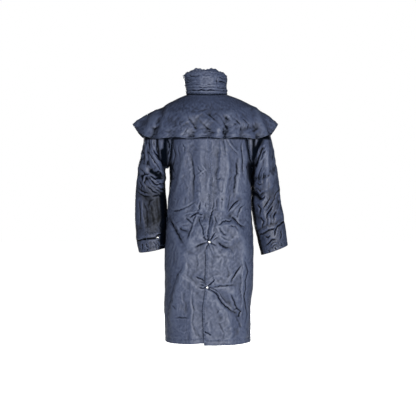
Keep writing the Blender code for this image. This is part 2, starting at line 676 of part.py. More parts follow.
SNAP_PROFILE = (  # radius and height of the pressed cap, as shares of its own sizes
    (1.00, 0.00),
    (1.00, 0.45),
    (0.86, 0.80),
    (0.55, 1.00),
)
SNAP_SIDES = 10


def snap(name, carrier, origin, inwards, finish):
    """A pressed cap that sits on the cloth of carrier, where a line from origin meets it."""
    tree = BVHTree.FromObject(carrier, bpy.context.evaluated_depsgraph_get())
    inwards = Vector(inwards).normalized()
    _, normal, _, _ = tree.ray_cast(Vector(origin), inwards)
    turned = Vector((0, 0, 1)).rotation_difference(normal)
    hit, _, _, _ = tree.ray_cast(Vector(origin), inwards)
    highest = 0.0
    for k in range(SNAP_SIDES):
        angle = 2 * math.pi * k / SNAP_SIDES
        rim = Vector((math.cos(angle), math.sin(angle), 0)) * SNAP_RADIUS
        above = hit + turned @ rim + normal * 0.02
        met, _, _, _ = tree.ray_cast(above, -normal)
        if met is not None:
            highest = max(highest, (met - hit).dot(normal))
    body = bmesh.new()
    rings = []
    for radius, height in SNAP_PROFILE:
        ring = []
        for k in range(SNAP_SIDES):
            angle = 2 * math.pi * k / SNAP_SIDES
            at = (
                radius * SNAP_RADIUS * math.cos(angle),
                radius * SNAP_RADIUS * math.sin(angle),
                height * SNAP_HEIGHT,
            )
            ring.append(body.verts.new(at))
        rings.append(ring)
    for lower, upper in zip(rings, rings[1:]):
        for k in range(SNAP_SIDES):
            after = (k + 1) % SNAP_SIDES
            body.faces.new((lower[k], lower[after], upper[after], upper[k]))
    body.faces.new(rings[0][::-1])
    body.faces.new(rings[-1])
    mesh = bpy.data.meshes.new(name)
    body.to_mesh(mesh)
    body.free()
    made = add_object(name, mesh, finish)
    made.rotation_mode = "QUATERNION"
    made.rotation_quaternion = turned
    made.location = hit + normal * (highest + SEAM_GAP)
    return made


# Assembly --------------------------------------------------------------------------------

FRONT_SNAPS = 6
FRONT_SNAP_TOP, FRONT_SNAP_BOTTOM = -0.330, -0.950
VENT_SNAPS = ((-0.0065, -0.688), (0.0040, -0.897))  # across and height


def main():
    for old in list(bpy.data.objects):
        bpy.data.objects.remove(old)
    cloth = material("coated_cloth", NAVY, 0.45, 0.0)
    metal = material("nickel", NICKEL, 0.25, 1.0)

    mitre = {
        1: armhole_mitre(1, LEFT_SLEEVE),
        -1: armhole_mitre(-1, RIGHT_SLEEVE),
    }

    def vent_edge(past_centre):
        return lambda levels: past_centre * ramp(levels, VENT_TOP, VENT_TOP - 0.035)

    def front_edge(levels):
        return np.full(levels.shape, 2 + FRONT_LAP)

    body_panel(
        "back_left", 1, True, 15, body_surface(vent=-LAP_LIFT), vent_edge(-VENT_UNDER),
        cloth, mitre[1], rise=LEFT_VENT_RISE,
    )
    back_right = body_panel(
        "back_right", -1, True, 15, body_surface(vent=LAP_LIFT), vent_edge(-VENT_OVER),
        cloth, mitre[-1],
    )
    front_left = body_panel(
        "front_left", 1, False, 9, body_surface(lap=LAP_LIFT), front_edge, cloth, mitre[1],
    )
    body_panel(
        "front_right", -1, False, 9, body_surface(lap=-LAP_LIFT), front_edge,
        cloth, mitre[-1],
    )

    sleeve_left, left_points, left_out = sleeve(
        "sleeve_left", 1, LEFT_SLEEVE, cloth, mitre[1]
    )
    sleeve_right, right_points, right_out = sleeve(
        "sleeve_right", -1, RIGHT_SLEEVE, cloth, mitre[-1]
    )
    tab_left = cuff_tab("cuff_tab_left", left_points, left_out, LEFT_TAB, cloth)
    tab_right = cuff_tab("cuff_tab_right", right_points, right_out, RIGHT_TAB, cloth)

    band("cape", CAPE_RINGS, 9, CAPE_OPENING, 37, cloth, cape_relief)
    band(
        "collar_outer", COLLAR_OUTER_RINGS, 12, COLLAR_OPENING, 25, cloth, collar_relief,
    )
    band("collar_inner", COLLAR_INNER_RINGS, 4, COLLAR_OPENING, 25, cloth)
    rolled_hood("packed_hood", cloth)

    for k, (x, z) in enumerate(VENT_SNAPS):
        snap(f"vent_snap_{k + 1}", back_right, (x, 0.30, z), (0, -1, 0), metal)
    for k, z in enumerate(np.linspace(FRONT_SNAP_TOP, FRONT_SNAP_BOTTOM, FRONT_SNAPS)):
        snap(f"front_snap_{k + 1}", front_left, (0.0, -0.30, z), (0, 1, 0), metal)
    snap("cuff_snap_left", tab_left, (0.2445, 0.15, -0.6705), (0, -1, 0), metal)
    snap("cuff_snap_right", tab_right, (-0.290, -0.30, -0.672), (0, 1, 0), metal)


main()
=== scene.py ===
"""A long raincoat of coated nylon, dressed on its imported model: two backs with a lapped vent, two
lapped fronts, sleeves with a tab at the cuff, a shoulder cape and a stand collar round the rolled
hood. Metres, +Z up. The wearer faces -Y, and the wearer's left is +X."""

import math
from collections import namedtuple

import bpy
import numpy as np
from mathutils import Matrix, Vector
from mathutils.bvhtree import BVHTree
from mathutils.geometry import delaunay_2d_cdt


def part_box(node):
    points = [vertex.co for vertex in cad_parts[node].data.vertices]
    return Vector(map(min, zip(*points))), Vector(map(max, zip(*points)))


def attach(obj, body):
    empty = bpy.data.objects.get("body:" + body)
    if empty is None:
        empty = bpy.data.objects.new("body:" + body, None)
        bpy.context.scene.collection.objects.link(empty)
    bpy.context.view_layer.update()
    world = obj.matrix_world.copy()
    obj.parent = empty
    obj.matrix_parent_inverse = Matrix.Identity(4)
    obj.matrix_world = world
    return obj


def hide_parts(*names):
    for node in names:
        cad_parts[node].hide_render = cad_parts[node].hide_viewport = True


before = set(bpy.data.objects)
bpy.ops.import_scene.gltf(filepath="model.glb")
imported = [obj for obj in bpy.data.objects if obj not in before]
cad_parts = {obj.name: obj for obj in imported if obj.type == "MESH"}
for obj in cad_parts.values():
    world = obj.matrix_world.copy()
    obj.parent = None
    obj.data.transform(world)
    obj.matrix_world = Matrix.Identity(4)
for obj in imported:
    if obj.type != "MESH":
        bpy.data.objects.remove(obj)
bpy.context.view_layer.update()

# The two backs ---------------------------------------------------------------------------
# Cut from coated nylon and sewn at the centre back down to the vent, where the right one laps
# over the left. The whole body is one worn form, so its creases run across the seams.

CLOTH = 0.0012
HEM, WAIST, UNDERARM, SHOULDER, NECK = -1.163, -0.575, -0.318, -0.052, 0.004
ARMHOLE_REACH = 0.085
VENT_TOP = -0.690
LAP_LIFT = 0.0025
# how much cloth lies between a centre line and a side seam
QUARTER = 0.31
BACK_SPACING, FRONT_SPACING = 0.0031, 0.0042

# A ring is a section of a worn form: its place along the form, its heights at the sides, back
# and front, its half width and its depths, how square its corners are, how flat it stays
# before it drops to the sides, and its shift to the left.
Ring = namedtuple(
    "Ring",
    "at side back front half_width back_depth front_depth squareness flatness shift",
)

BODY_RINGS = (
    Ring(HEM, HEM, -1.165, -1.160, 0.2050, 0.165, 0.154, 2.5, 2, 0.001),
    Ring(-1.000, -1.000, -1.000, -1.000, 0.2060, 0.160, 0.150, 2.5, 2, 0.003),
    Ring(-0.900, -0.900, -0.900, -0.900, 0.2100, 0.160, 0.150, 2.5, 2, -0.004),
    Ring(-0.750, -0.750, -0.750, -0.750, 0.2120, 0.160, 0.148, 2.5, 2, -0.0055),
    Ring(-0.670, -0.670, -0.670, -0.670, 0.2080, 0.156, 0.145, 2.4, 2, -0.006),
    Ring(WAIST, WAIST, -0.575, -0.575, 0.2020, 0.147, 0.139, 2.4, 2, -0.005),
    Ring(-0.500, -0.500, -0.500, -0.500, 0.1990, 0.150, 0.142, 2.4, 2, -0.008),
    Ring(-0.400, -0.400, -0.400, -0.400, 0.1955, 0.153, 0.148, 2.4, 2, -0.012),
    Ring(UNDERARM, UNDERARM, -0.328, -0.328, 0.1950, 0.152, 0.150, 2.4, 2, -0.010),
    Ring(-0.200, -0.200, -0.225, -0.235, 0.1965, 0.148, 0.142, 2.4, 2, -0.006),
    Ring(-0.110, -0.110, -0.145, -0.175, 0.1990, 0.138, 0.130, 2.3, 2, -0.002),
    Ring(SHOULDER, SHOULDER, -0.094, -0.135, 0.2030, 0.123, 0.118, 2.2, 2, 0.000),
    Ring(-0.022, -0.022, -0.050, -0.105, 0.1500, 0.105, 0.102, 2.1, 2, 0.003),
    Ring(NECK, NECK, -0.004, -0.068, 0.0930, 0.087, 0.086, 2.1, 2, 0.006),
)

# A fold is a broad soft ridge along a line, or a trough where its height is negative.
Fold = namedtuple("Fold", "x0 z0 x1 z1 width height")

BACK_FOLDS = (
    # drapes from the shoulders to the waist
    Fold(0.120, -0.215, 0.135, -0.520, 0.030, 0.0028),
    Fold(0.078, -0.215, 0.072, -0.520, 0.026, -0.0028),
    Fold(0.022, -0.215, 0.030, -0.520, 0.028, 0.0024),
    Fold(-0.036, -0.215, -0.030, -0.540, 0.024, -0.0028),
    Fold(-0.080, -0.215, -0.068, -0.530, 0.026, 0.0028),
    Fold(-0.142, -0.240, -0.110, -0.520, 0.024, -0.0032),
    Fold(-0.172, -0.215, -0.165, -0.520, 0.024, 0.002),
    # to the drawn-in waist
    Fold(0.080, -0.650, 0.046, -0.575, 0.020, -0.0054),
    Fold(0.040, -0.600, 0.012, -0.672, 0.018, -0.0036),
    Fold(0.160, -0.590, 0.100, -0.555, 0.020, 0.0042),
    Fold(-0.112, -0.572, -0.166, -0.618, 0.020, -0.0048),
    Fold(-0.104, -0.530, -0.142, -0.490, 0.020, -0.0036),
    Fold(-0.130, -0.615, -0.150, -0.660, 0.022, 0.0042),
    Fold(-0.045, -0.570, -0.062, -0.640, 0.022, 0.0036),
    # fanning out from the two snaps of the vent
    Fold(-0.045, -0.695, -0.110, -0.716, 0.024, -0.0049),
    Fold(0.034, -0.668, 0.060, -0.632, 0.022, 0.0035),
    Fold(0.036, -0.710, 0.080, -0.730, 0.022, -0.0035),
    Fold(-0.046, -0.930, -0.150, -1.020, 0.026, -0.007),
    Fold(-0.050, -0.980, -0.120, -1.070, 0.026, 0.0035),
    Fold(-0.112, -0.925, -0.142, -0.985, 0.026, 0.0042),
    Fold(0.034, -0.872, 0.070, -0.842, 0.024, -0.0035),
    # the skirt's long falls
    Fold(0.184, -0.585, 0.104, -0.720, 0.020, -0.0063),
    Fold(0.104, -0.700, 0.150, -1.000, 0.036, 0.007),
    Fold(0.066, -0.930, 0.066, -1.150, 0.024, 0.0035),
    Fold(-0.172, -0.690, -0.168, -1.130, 0.022, 0.0056),
    Fold(-0.140, -0.700, -0.138, -0.880, 0.026, -0.0035),
    Fold(-0.090, -1.060, -0.100, -1.150, 0.028, 0.0042),
)

FRONT_FOLDS = (
    Fold(0.150, -0.300, 0.130, -0.540, 0.026, 0.0036),
    Fold(0.095, -0.280, 0.085, -0.550, 0.022, -0.0036),
    Fold(-0.085, -0.280, -0.100, -0.545, 0.024, -0.0036),
    Fold(-0.150, -0.300, -0.135, -0.540, 0.024, 0.0036),
    Fold(0.150, -0.620, 0.070, -0.560, 0.016, -0.0042),
    Fold(-0.070, -0.560, -0.155, -0.610, 0.016, -0.0042),
    Fold(0.090, -0.640, 0.130, -1.000, 0.034, 0.0048),
    Fold(0.150, -0.800, 0.165, -1.140, 0.024, -0.0036),
    Fold(-0.100, -0.640, -0.125, -1.050, 0.034, 0.0048),
    Fold(-0.155, -0.760, -0.165, -1.140, 0.024, -0.0036),
)

# A crease is crisp, and runs through places in millimetres: to the right as one stands in front
# of it, and up from the neck seam. Its flanks are flat, wide in proportion to left and right, as
# one walks along it, and "starts" is 1 where it starts at full height, as at a snap.
Crease = namedtuple("Crease", "left right height starts path")

BACK_CREASES = (
    # drapes below the cape
    Crease(9, 9, -2.75, 0, ((46, -231), (45, -310), (40, -402), (30, -485))),
    Crease(5, 10, -4.25, 0, ((72, -199), (77, -254), (82, -300))),
    Crease(6, 4, 3.5, 0, ((87, -203), (115, -250), (138, -270), (150, -300))),
    Crease(8, 7, -4.25, 0, ((145, -273), (136, -346), (127, -411), (108, -517))),
    Crease(6, 8, 2.75, 0, ((178, -208), (180, -310), (179, -393), (173, -466))),
    Crease(4, 6, -3.5, 0, ((161, -199), (163, -310), (164, -420))),
    Crease(5, 9, -3.5, 0, ((-88, -263), (-69, -346), (-63, -383), (-67, -448), (-73, -508))),
    Crease(3.4, 5, 2, 0, ((-58, -388), (-32, -367), (-7, -349))),
    Crease(4, 3.4, -2, 0, ((-55, -333), (-35, -360), (-14, -388))),
    Crease(3.4, 4, 1.75, 0, ((-37, -319), (0, -370))),
    Crease(3.4, 4, -4.25, 0, ((-161, -208), (-161, -310), (-158, -402))),
    Crease(12, 9, 3.5, 0, ((-111, -236), (-120, -333), (-145, -448), (-171, -531))),
    Crease(12, 12, -2.75, 0, ((-18, -217), (-12, -333), (-16, -457))),
    Crease(9, 9, 2.75, 0, ((14, -245), (9, -379), (-5, -503))),
    Crease(8, 9, 2.75, 0, ((99, -254), (95, -379), (78, -499))),
    Crease(4, 4, -2, 0, ((-134, -226), (-138, -263), (-129, -310))),
    Crease(3.4, 3.4, -2, 0, ((-120, -222), (-108, -250), (-113, -291))),
    Crease(4, 4, -2, 0, ((191, -310), (182, -379), (187, -457))),
    # small gathers over the drawn-in waist
    Crease(3.4, 3.4, -1.25, 0, ((41, -485), (40, -513), (38, -545))),
    Crease(3.4, 3.4, -1.5, 0, ((64, -471), (63, -508), (60, -549))),
    Crease(4, 3.4, -1.75, 0, ((103, -462), (97, -503), (90, -545))),
    Crease(3.4, 3.4, 1.25, 0, ((81, -480), (77, -545))),
    Crease(3.4, 3.4, -1.25, 0, ((-8, -499), (-12, -554))),
    Crease(3.4, 3.4, 1, 0, ((-26, -494), (-30, -549))),
    Crease(3.4, 3.4, -1.25, 0, ((-102, -476), (-111, -522))),
    Crease(3.4, 4, -1.25, 0, ((-136, -485), (-150, -531))),
    # creases that run into the left of the waist
    Crease(4, 6, -3.25, 0,
           ((-183, -544), (-157, -545), (-133, -542), (-114, -535), (-91, -526), (-63, -506),
            (-39, -497))),
    Crease(4, 4, -3.5, 1, ((-47, -556), (-41, -526), (-37, -495))),
    Crease(3.4, 5, -4.25, 1, ((-47, -555), (-67, -565), (-87, -579))),
    Crease(4, 3.4, -3.5, 1, ((-47, -556), (-33, -561), (-18, -563))),
    Crease(3.4, 3.4, 2.5, 1, ((-52, -549), (-78, -552), (-115, -568))),
    Crease(3.4, 5, -4.25, 0, ((-104, -575), (-84, -591), (-66, -606))),
    Crease(22, 3.4, 5.5, 1, ((-51, -561), (-61, -593), (-73, -635), (-88, -672), (-99, -716))),
    Crease(10, 10, -6.25, 0, ((-143, -621), (-111, -635), (-78, -637))),
    Crease(5, 8, -3.75, 0, ((-189, -563), (-169, -607), (-144, -650), (-126, -676), (-104, -713))),
    Crease(6, 4, 2.75, 0, ((-178, -561), (-155, -605), (-127, -645), (-108, -674))),
    Crease(3.4, 3.4, -3.5, 0,
           ((-44, -574), (-37, -598), (-24, -628), (-20, -653), (-14, -679), (2, -688))),
    Crease(3.4, 3.4, 2, 0, ((-38, -585), (-19, -579))),
    Crease(3.4, 3.4, 2, 0, ((-34, -603), (-15, -597))),
    Crease(3.4, 3.4, 2, 0, ((-28, -621), (-8, -614))),
    Crease(3.4, 3.4, 2, 0, ((-22, -639), (-5, -633))),
    Crease(3.4, 3.4, 2, 0, ((-19, -657), (-3, -651))),
    Crease(4, 4, -3.5, 1,
           ((5, -686), (-1, -660), (1, -637), (6, -617), (12, -577), (17, -554), (25, -526),
            (27, -471))),
    Crease(5, 5, 2.75, 0, ((28, -549), (23, -614), (16, -665))),
    # creases that run into the right of the waist
    Crease(3.4, 5, -3.5, 0, ((174, -510), (152, -531), (142, -554), (137, -591))),
    Crease(3.4, 3.4, -3.5, 0, ((145, -491), (129, -505), (106, -533), (85, -561))),
    Crease(3.4, 3.4, 2.75, 0, ((152, -497), (135, -516), (109, -549))),
    Crease(3.4, 8, -5.5, 0, ((108, -570), (129, -585), (140, -600), (158, -614), (175, -624))),
    Crease(4, 3.4, -5, 0, ((44, -618), (66, -597), (83, -590), (100, -594), (122, -587))),
    Crease(5, 15, 2, 0, ((51, -630), (76, -611), (106, -609), (138, -626))),
    Crease(3.4, 3.4, -2, 0, ((98, -609), (113, -615), (127, -617), (135, -628), (147, -645))),
    Crease(6, 6, -3.5, 0, ((49, -609), (57, -633), (72, -652), (99, -662))),
    Crease(9, 6, -3.5, 0, ((42, -680), (62, -703), (83, -715), (120, -718))),
    Crease(4, 6, 2.75, 0, ((46, -660), (76, -681), (115, -690))),
    # creases that the upper snap of the vent pulls
    Crease(3.4, 3.4, -2.75, 1, ((6, -688), (21, -662), (38, -634))),
    Crease(3.4, 3.4, -2.5, 1, ((6, -688), (22, -697), (42, -708))),
    Crease(6, 4, -2, 1, ((3, -689), (-18, -694), (-46, -705), (-76, -720))),
    Crease(3.4, 3.4, 2.75, 1, ((7, -685), (30, -668), (53, -658))),
    Crease(3.4, 3.4, -2.5, 1, ((3, -684), (-14, -671), (-30, -659))),
    Crease(3.4, 3.4, -1.75, 1, ((3, -693), (-5, -709), (-11, -729))),
    Crease(3.4, 3.4, 2.5, 1, ((6, -694), (18, -718), (26, -748))),
    # creases that the lower snap pulls
    Crease(3.4, 4, -3.75, 1, ((-2, -894), (16, -876), (38, -854))),
    Crease(3.6, 6, -5, 1,
           ((0, -900), (18, -911), (37, -924), (60, -959), (82, -985), (108, -1007), (147, -1027))),
    Crease(3.4, 3.4, -3.25, 1, ((5, -896), (32, -908), (54, -939))),
    Crease(3.4, 3.4, 2.75, 0, ((16, -903), (42, -920), (63, -954), (85, -979))),
    Crease(3.4, 5, -5, 0, ((102, -923), (122, -963), (146, -1011))),
    Crease(3.4, 3.4, -3.5, 0,
           ((117, -1009), (134, -997), (151, -1011), (143, -1034), (123, -1028))),
    Crease(4, 5, -2.75, 1, ((7, -896), (55, -891), (102, -888), (146, -890))),
    Crease(4, 3.4, -3.5, 0, ((157, -794), (131, -829), (112, -859), (107, -896))),
    Crease(3.6, 3.6, -3.25, 0, ((-60, -847), (-37, -857), (-12, -870))),
    Crease(3.4, 3.4, -2.5, 1, ((-5, -897), (-23, -902), (-49, -896))),
    Crease(3.4, 3.4, 2.75, 1, ((-6, -892), (-23, -881), (-44, -877))),
    # the skirt's long falls and faint crinkles
    Crease(3.4, 4, 2.75, 0, ((169, -762), (163, -872), (162, -974), (153, -1112))),
    Crease(4, 3.4, -4.25, 0, ((180, -725), (175, -872), (174, -974), (167, -1131))),
    Crease(28, 9, 5.5, 0,
           ((-74, -739), (-104, -808), (-130, -857), (-150, -919), (-166, -981), (-170, -1069),
            (-171, -1159))),
    Crease(44, 3.4, -3.25, 0, ((-68, -891), (-66, -1002), (-64, -1163))),
    Crease(3.4, 4, -2, 0, ((-161, -1043), (-120, -1039), (-76, -1042))),
    Crease(3.4, 3.4, -2, 0, ((-168, -979), (-145, -1009))),
    Crease(3.4, 3.4, -3.5, 1, ((-13, -1103), (2, -1108), (20, -1121))),
    Crease(10, 10, -1.75, 0, ((30, -946), (46, -1011), (65, -1094))),
    Crease(8, 8, 1.5, 0, ((90, -1020), (102, -1075), (111, -1149))),
    Crease(4, 4, -1.5, 0, ((127, -1029), (143, -1062), (161, -1099))),
    Crease(6, 6, -1, 0, ((5, -764), (65, -752), (134, -768))),
    Crease(5, 5, 0.75, 0, ((2, -808), (32, -812), (65, -829))),
    Crease(5, 4, -1, 0, ((-97, -762), (-90, -817), (-95, -886))),
    Crease(4, 5, -1.25, 0, ((-146, -692), (-157, -752), (-175, -826))),
    Crease(5, 4, 1, 0, ((-127, -711), (-138, -780), (-161, -854))),
    Crease(4, 4, -1, 0, ((-54, -734), (-46, -789), (-53, -831))),
    Crease(4, 4, -1, 0, ((83, -789), (97, -831), (85, -868))),
    Crease(5, 5, -1, 0, ((-115, -937), (-102, -983), (-109, -1029))),
    Crease(4, 4, 1, 0, ((-143, -1094), (-111, -1108), (-83, -1096))),
    Crease(4, 4, -1, 0, ((46, -1057), (74, -1108), (65, -1154))),
)


def between(rows, name, at):
    """A column of a table of sections, read at any place along it without overshooting."""
    x = np.array([row.at for row in rows])
    y = np.array([getattr(row, name) for row in rows])
    step = np.diff(y) / np.diff(x)
    same_way = step[:-1] * step[1:] > 0
    total = np.where(same_way, step[:-1] + step[1:], 1.0)
    inner = np.where(same_way, 2 * step[:-1] * step[1:] / total, 0.0)
    slope = np.concatenate([step[:1], inner, step[-1:]])
    i = np.clip(np.searchsorted(x, at) - 1, 0, len(x) - 2)
    span = x[i + 1] - x[i]
    u = (at - x[i]) / span
    return (
        y[i] * (1 + 2 * u) * (1 - u) ** 2
        + y[i + 1] * u**2 * (3 - 2 * u)
        + span * u * (1 - u) * (slope[i] * (1 - u) - slope[i + 1] * u)
    )


def ramp(value, start, end):
    """0 before start, 1 after end, and a smooth step between them."""
    u = np.clip((value - start) / (end - start), 0, 1)
    return u * u * (3 - 2 * u)


def folded(folds, x, z):
    """How far broad folds push the cloth out at the places (x, z) of their own drawing."""
    out = np.zeros(np.broadcast(x, z).shape)
    for x0, z0, x1, z1, width, height in folds:
        length = math.hypot(x1 - x0, z1 - z0)
        along = ((x - x0) * (x1 - x0) + (z - z0) * (z1 - z0)) / length**2
        along = np.clip(along, 0, 1)
        away = np.hypot(x - x0 - along * (x1 - x0), z - z0 - along * (z1 - z0))
        out += height * np.exp(-((away / width) ** 2))
    return out


def broken(path):
    """A crease's places joined by straight pieces, each a little off the line, as in thin
    cloth that folds hard."""
    path = np.array(path, float)
    aside = np.random.default_rng(int(np.abs(path).sum())).uniform(-0.07, 0.07, (len(path), 2))
    line = []
    for (start, end), offs in zip(zip(path, path[1:]), aside):
        span = end - start
        across = np.array([-span[1], span[0]])
        bends = [start + span * 0.36 + across * offs[0], start + span * 0.70 + across * offs[1]]
        line += [start] + bends
    return np.array(line + [path[-1]])


def creased(creases, right, up):
    """How far crisp creases push the cloth out at places to the right and up, in metres."""
    out = np.zeros(right.shape)
    for crease in creases:
        line = broken(crease.path) / 1000
        far = 1.6 * max(crease.left, crease.right) / 1000
        low, high = line.min(axis=0) - far, line.max(axis=0) + far
        near = (right > low[0]) & (right < high[0]) & (up > low[1]) & (up < high[1])
        at = np.stack([right[near], up[near]], axis=-1)[:, None]
        span = line[1:] - line[:-1]
        length = np.linalg.norm(span, axis=1)
        before = np.concatenate([[0.0], np.cumsum(length)])
        along = np.clip(np.sum((at - line[:-1]) * span, axis=-1) / length**2, 0, 1)
        off = at - line[:-1] - along[..., None] * span
        away = np.linalg.norm(off, axis=-1)
        nearest = away.argmin(axis=1)[:, None]

        def pick(values):
            return np.take_along_axis(values, nearest, axis=1)[:, 0]

        distance = pick(away)
        walked = pick(before[:-1] + along * length) / before[-1]
        on_left = pick(span[:, 0] * off[..., 1] - span[:, 1] * off[..., 0]) > 0
        width = np.where(on_left, crease.left, crease.right) / 1000
        # its line is rounded off by half a millimetre
        shape = np.clip(1 - (np.hypot(distance, 0.0005) - 0.0005) / (1.5 * width), 0, 1)
        fade = ramp(1 - walked, 0, 0.45) * (1 if crease.starts else ramp(walked, 0, 0.3))
        out[near] += crease.height / 1000 * shape * fade
    return out


def crumpled(across, down, wide, tall, height, seed):
    """Small flat facets with hard edges between them, about wide by tall, in metres."""
    random = np.random.default_rng(seed)
    columns = np.arange(across.min() / wide - 2, across.max() / wide + 3)
    rows = np.arange(down.min() / tall - 2, down.max() / tall + 3)
    grid = np.stack(np.meshgrid(columns, rows), axis=-1).reshape(-1, 2)
    grid = (grid + random.uniform(-0.48, 0.48, grid.shape)) * (wide, tall)
    facets = delaunay_2d_cdt([Vector(place) for place in grid], [], [], 0, 1e-5)
    raised = random.normal(0, height, len(facets[0]))
    corners = [(place.x, place.y, rise) for place, rise in zip(facets[0], raised)]
    tree = BVHTree.FromPolygons(corners, facets[2])
    places = np.stack([across.ravel(), down.ravel()], axis=-1).tolist()
    out = [tree.ray_cast((x, y, 1), (0, 0, -1))[0].z for x, y in places]
    return np.array(out).reshape(across.shape)


def ring_point(rings, at, turn, raised=None):
    """A point on a lofted form. turn is 0 at the centre back, 1 at the left side, 2 at the
    centre front and negative on the right. raised(x, z, at_back) pushes the point out."""
    at, turn = np.broadcast_arrays(np.asarray(at, float), np.asarray(turn, float))
    across, along = np.sin(turn * math.pi / 2), np.cos(turn * math.pi / 2)
    at_back = along >= 0
    half = between(rings, "half_width", at)
    depth = np.where(
        at_back, between(rings, "back_depth", at), between(rings, "front_depth", at)
    )
    power = between(rings, "squareness", at)
    radius = (
        (np.abs(across) / half) ** power + (np.abs(along) / depth) ** power
    ) ** (-1 / power)
    side = between(rings, "side", at)
    end = np.where(at_back, between(rings, "back", at), between(rings, "front", at))
    outwards = np.abs(radius * across) / half
    z = end + (side - end) * outwards ** between(rings, "flatness", at)
    shift = between(rings, "shift", at)
    if raised is not None:
        radius = radius + raised(shift + radius * across, z, at_back)
    return np.stack([shift + radius * across, radius * along, z], axis=-1)


def body_form(level, turn, lap=0.0, vent=0.0):
    """The worn form of the body. lap and vent lift the cloth of a lapped layer."""

    def raised(x, z, at_back):
        folds = np.where(at_back, folded(BACK_FOLDS, x, z), folded(FRONT_FOLDS, x, z))
        # the waist is drawn in by 5 mm, in small gathers on either side of the laps
        waist = np.exp(-(((z - WAIST) / 0.022) ** 2) - (x / 0.170) ** 8)
        gathers = np.cos(x * 30 * math.pi) * (1 - np.exp(-((x / 0.070) ** 4)))
        open_vent = ramp(z, VENT_TOP + 0.030, VENT_TOP + 0.002)
        lift = np.where(at_back, vent * open_vent, lap) * np.exp(-((x / 0.060) ** 4))
        return folds + (0.0008 * gathers - 0.005) * waist + lift

    return ring_point(BODY_RINGS, level, turn, raised)


def armhole_turn(level, at_back):
    """Where a panel's side edge lies: at the side seam, or round the armhole's oval."""
    middle, half = (UNDERARM + SHOULDER) / 2, (SHOULDER - UNDERARM) / 2
    reach = ARMHOLE_REACH * np.sqrt(np.clip(1 - ((level - middle) / half) ** 2, 0, 1))
    width = between(BODY_RINGS, "half_width", level)
    depth = between(BODY_RINGS, "back_depth" if at_back else "front_depth", level)
    power = between(BODY_RINGS, "squareness", level)
    out = width * (1 - (reach / depth) ** power) ** (1 / power)
    return np.arctan2(out, reach if at_back else -reach) * 2 / math.pi


def beside_armhole(level, turn, start, end):
    """1 at an armhole's edge and inside it, and 0 from start turns away from it."""
    aside = 1 - np.abs(1 - np.abs(turn))
    at_back = armhole_turn(level, True)
    edge = np.where(np.abs(turn) <= 1, at_back, 2 - armhole_turn(level, False))
    return ramp(level, UNDERARM - 0.045, UNDERARM) * ramp(aside, edge - start, edge - end)


def quads(rows, columns, wraps):
    """The numbers of a grid of points, and the four at the corners of each of its cells. Its
    last column joins its first where it wraps."""
    grid = np.arange(rows * columns).reshape(rows, columns)
    if wraps:
        grid = np.concatenate([grid, grid[:, :1]], axis=1)
    cell = [grid[:-1, :-1], grid[:-1, 1:], grid[1:, 1:], grid[1:, :-1]]
    return grid, np.stack(cell, axis=-1).reshape(-1, 4)


def outward(points, wraps=False):
    """Unit normals of a grid of points, away from their middle."""
    if wraps:
        across = np.roll(points, -1, axis=1) - np.roll(points, 1, axis=1)
    else:
        across = np.gradient(points, axis=1)
    normal = np.cross(across, np.gradient(points, axis=0))
    normal /= np.maximum(np.linalg.norm(normal, axis=-1, keepdims=True), 1e-12)
    away = points - points.reshape(-1, 3).mean(axis=0)
    return normal * np.sign(np.sum(normal * away))


def settled(name, worn, cut, hold, wraps, bending=0.05):
    """Draws a grid of cloth in from its cut size to its worn place, so that what it has to
    spare falls into creases. It is held to that place where hold is 1. Returns how far each
    of its points moves."""
    frames, drawn_in_by = 24, 8
    _, cells = quads(*worn.shape[:2], wraps)
    # a perfectly even cloth would never start to crease
    uneven = np.random.default_rng(5).normal(0, 0.0004, worn.shape)
    mesh = bpy.data.meshes.new(name)
    mesh.from_pydata((cut + uneven).reshape(-1, 3).tolist(), [], cells.tolist())
    draft = bpy.data.objects.new(name, mesh)
    bpy.context.scene.collection.objects.link(draft)
    draft.shape_key_add(name="cut")
    drawn_in = draft.shape_key_add(name="worn")
    drawn_in.data.foreach_set("co", (worn + uneven).astype(np.float32).ravel())
    for frame_number, share in ((1, 0), (drawn_in_by, 1)):
        drawn_in.value = share
        drawn_in.keyframe_insert("value", frame=frame_number)
    held = draft.vertex_groups.new(name="held")
    share = np.round(np.clip(hold, 0, 1), 2).ravel()
    for value in np.unique(share):
        held.add(np.flatnonzero(share == value).tolist(), float(value), "REPLACE")
    cloth = draft.modifiers.new("settle", "CLOTH")
    cloth.point_cache.frame_start, cloth.point_cache.frame_end = 1, frames
    cloth.settings.vertex_group_mass = "held"
    cloth.settings.pin_stiffness = 1.0
    cloth.settings.quality = 5
    cloth.settings.mass = 0.15
    cloth.settings.tension_stiffness = cloth.settings.compression_stiffness = 25
    cloth.settings.shear_stiffness = 10
    cloth.settings.bending_stiffness = bending
    cloth.settings.effector_weights.gravity = 0
    for frame_number in range(1, frames + 1):
        bpy.context.scene.frame_set(frame_number)
    shown = draft.evaluated_get(bpy.context.evaluated_depsgraph_get()).to_mesh()
    ended = np.empty(len(shown.vertices) * 3, np.float32)
    shown.vertices.foreach_get("co", ended)
    bpy.data.objects.remove(draft)
    bpy.context.scene.frame_set(1)
    # no point may move further than this
    furthest = 0.011
    move = ended.reshape(worn.shape) - worn
    size = np.linalg.norm(move, axis=-1, keepdims=True)
    return move * furthest * np.tanh(size / furthest) / np.maximum(size, 1e-9)


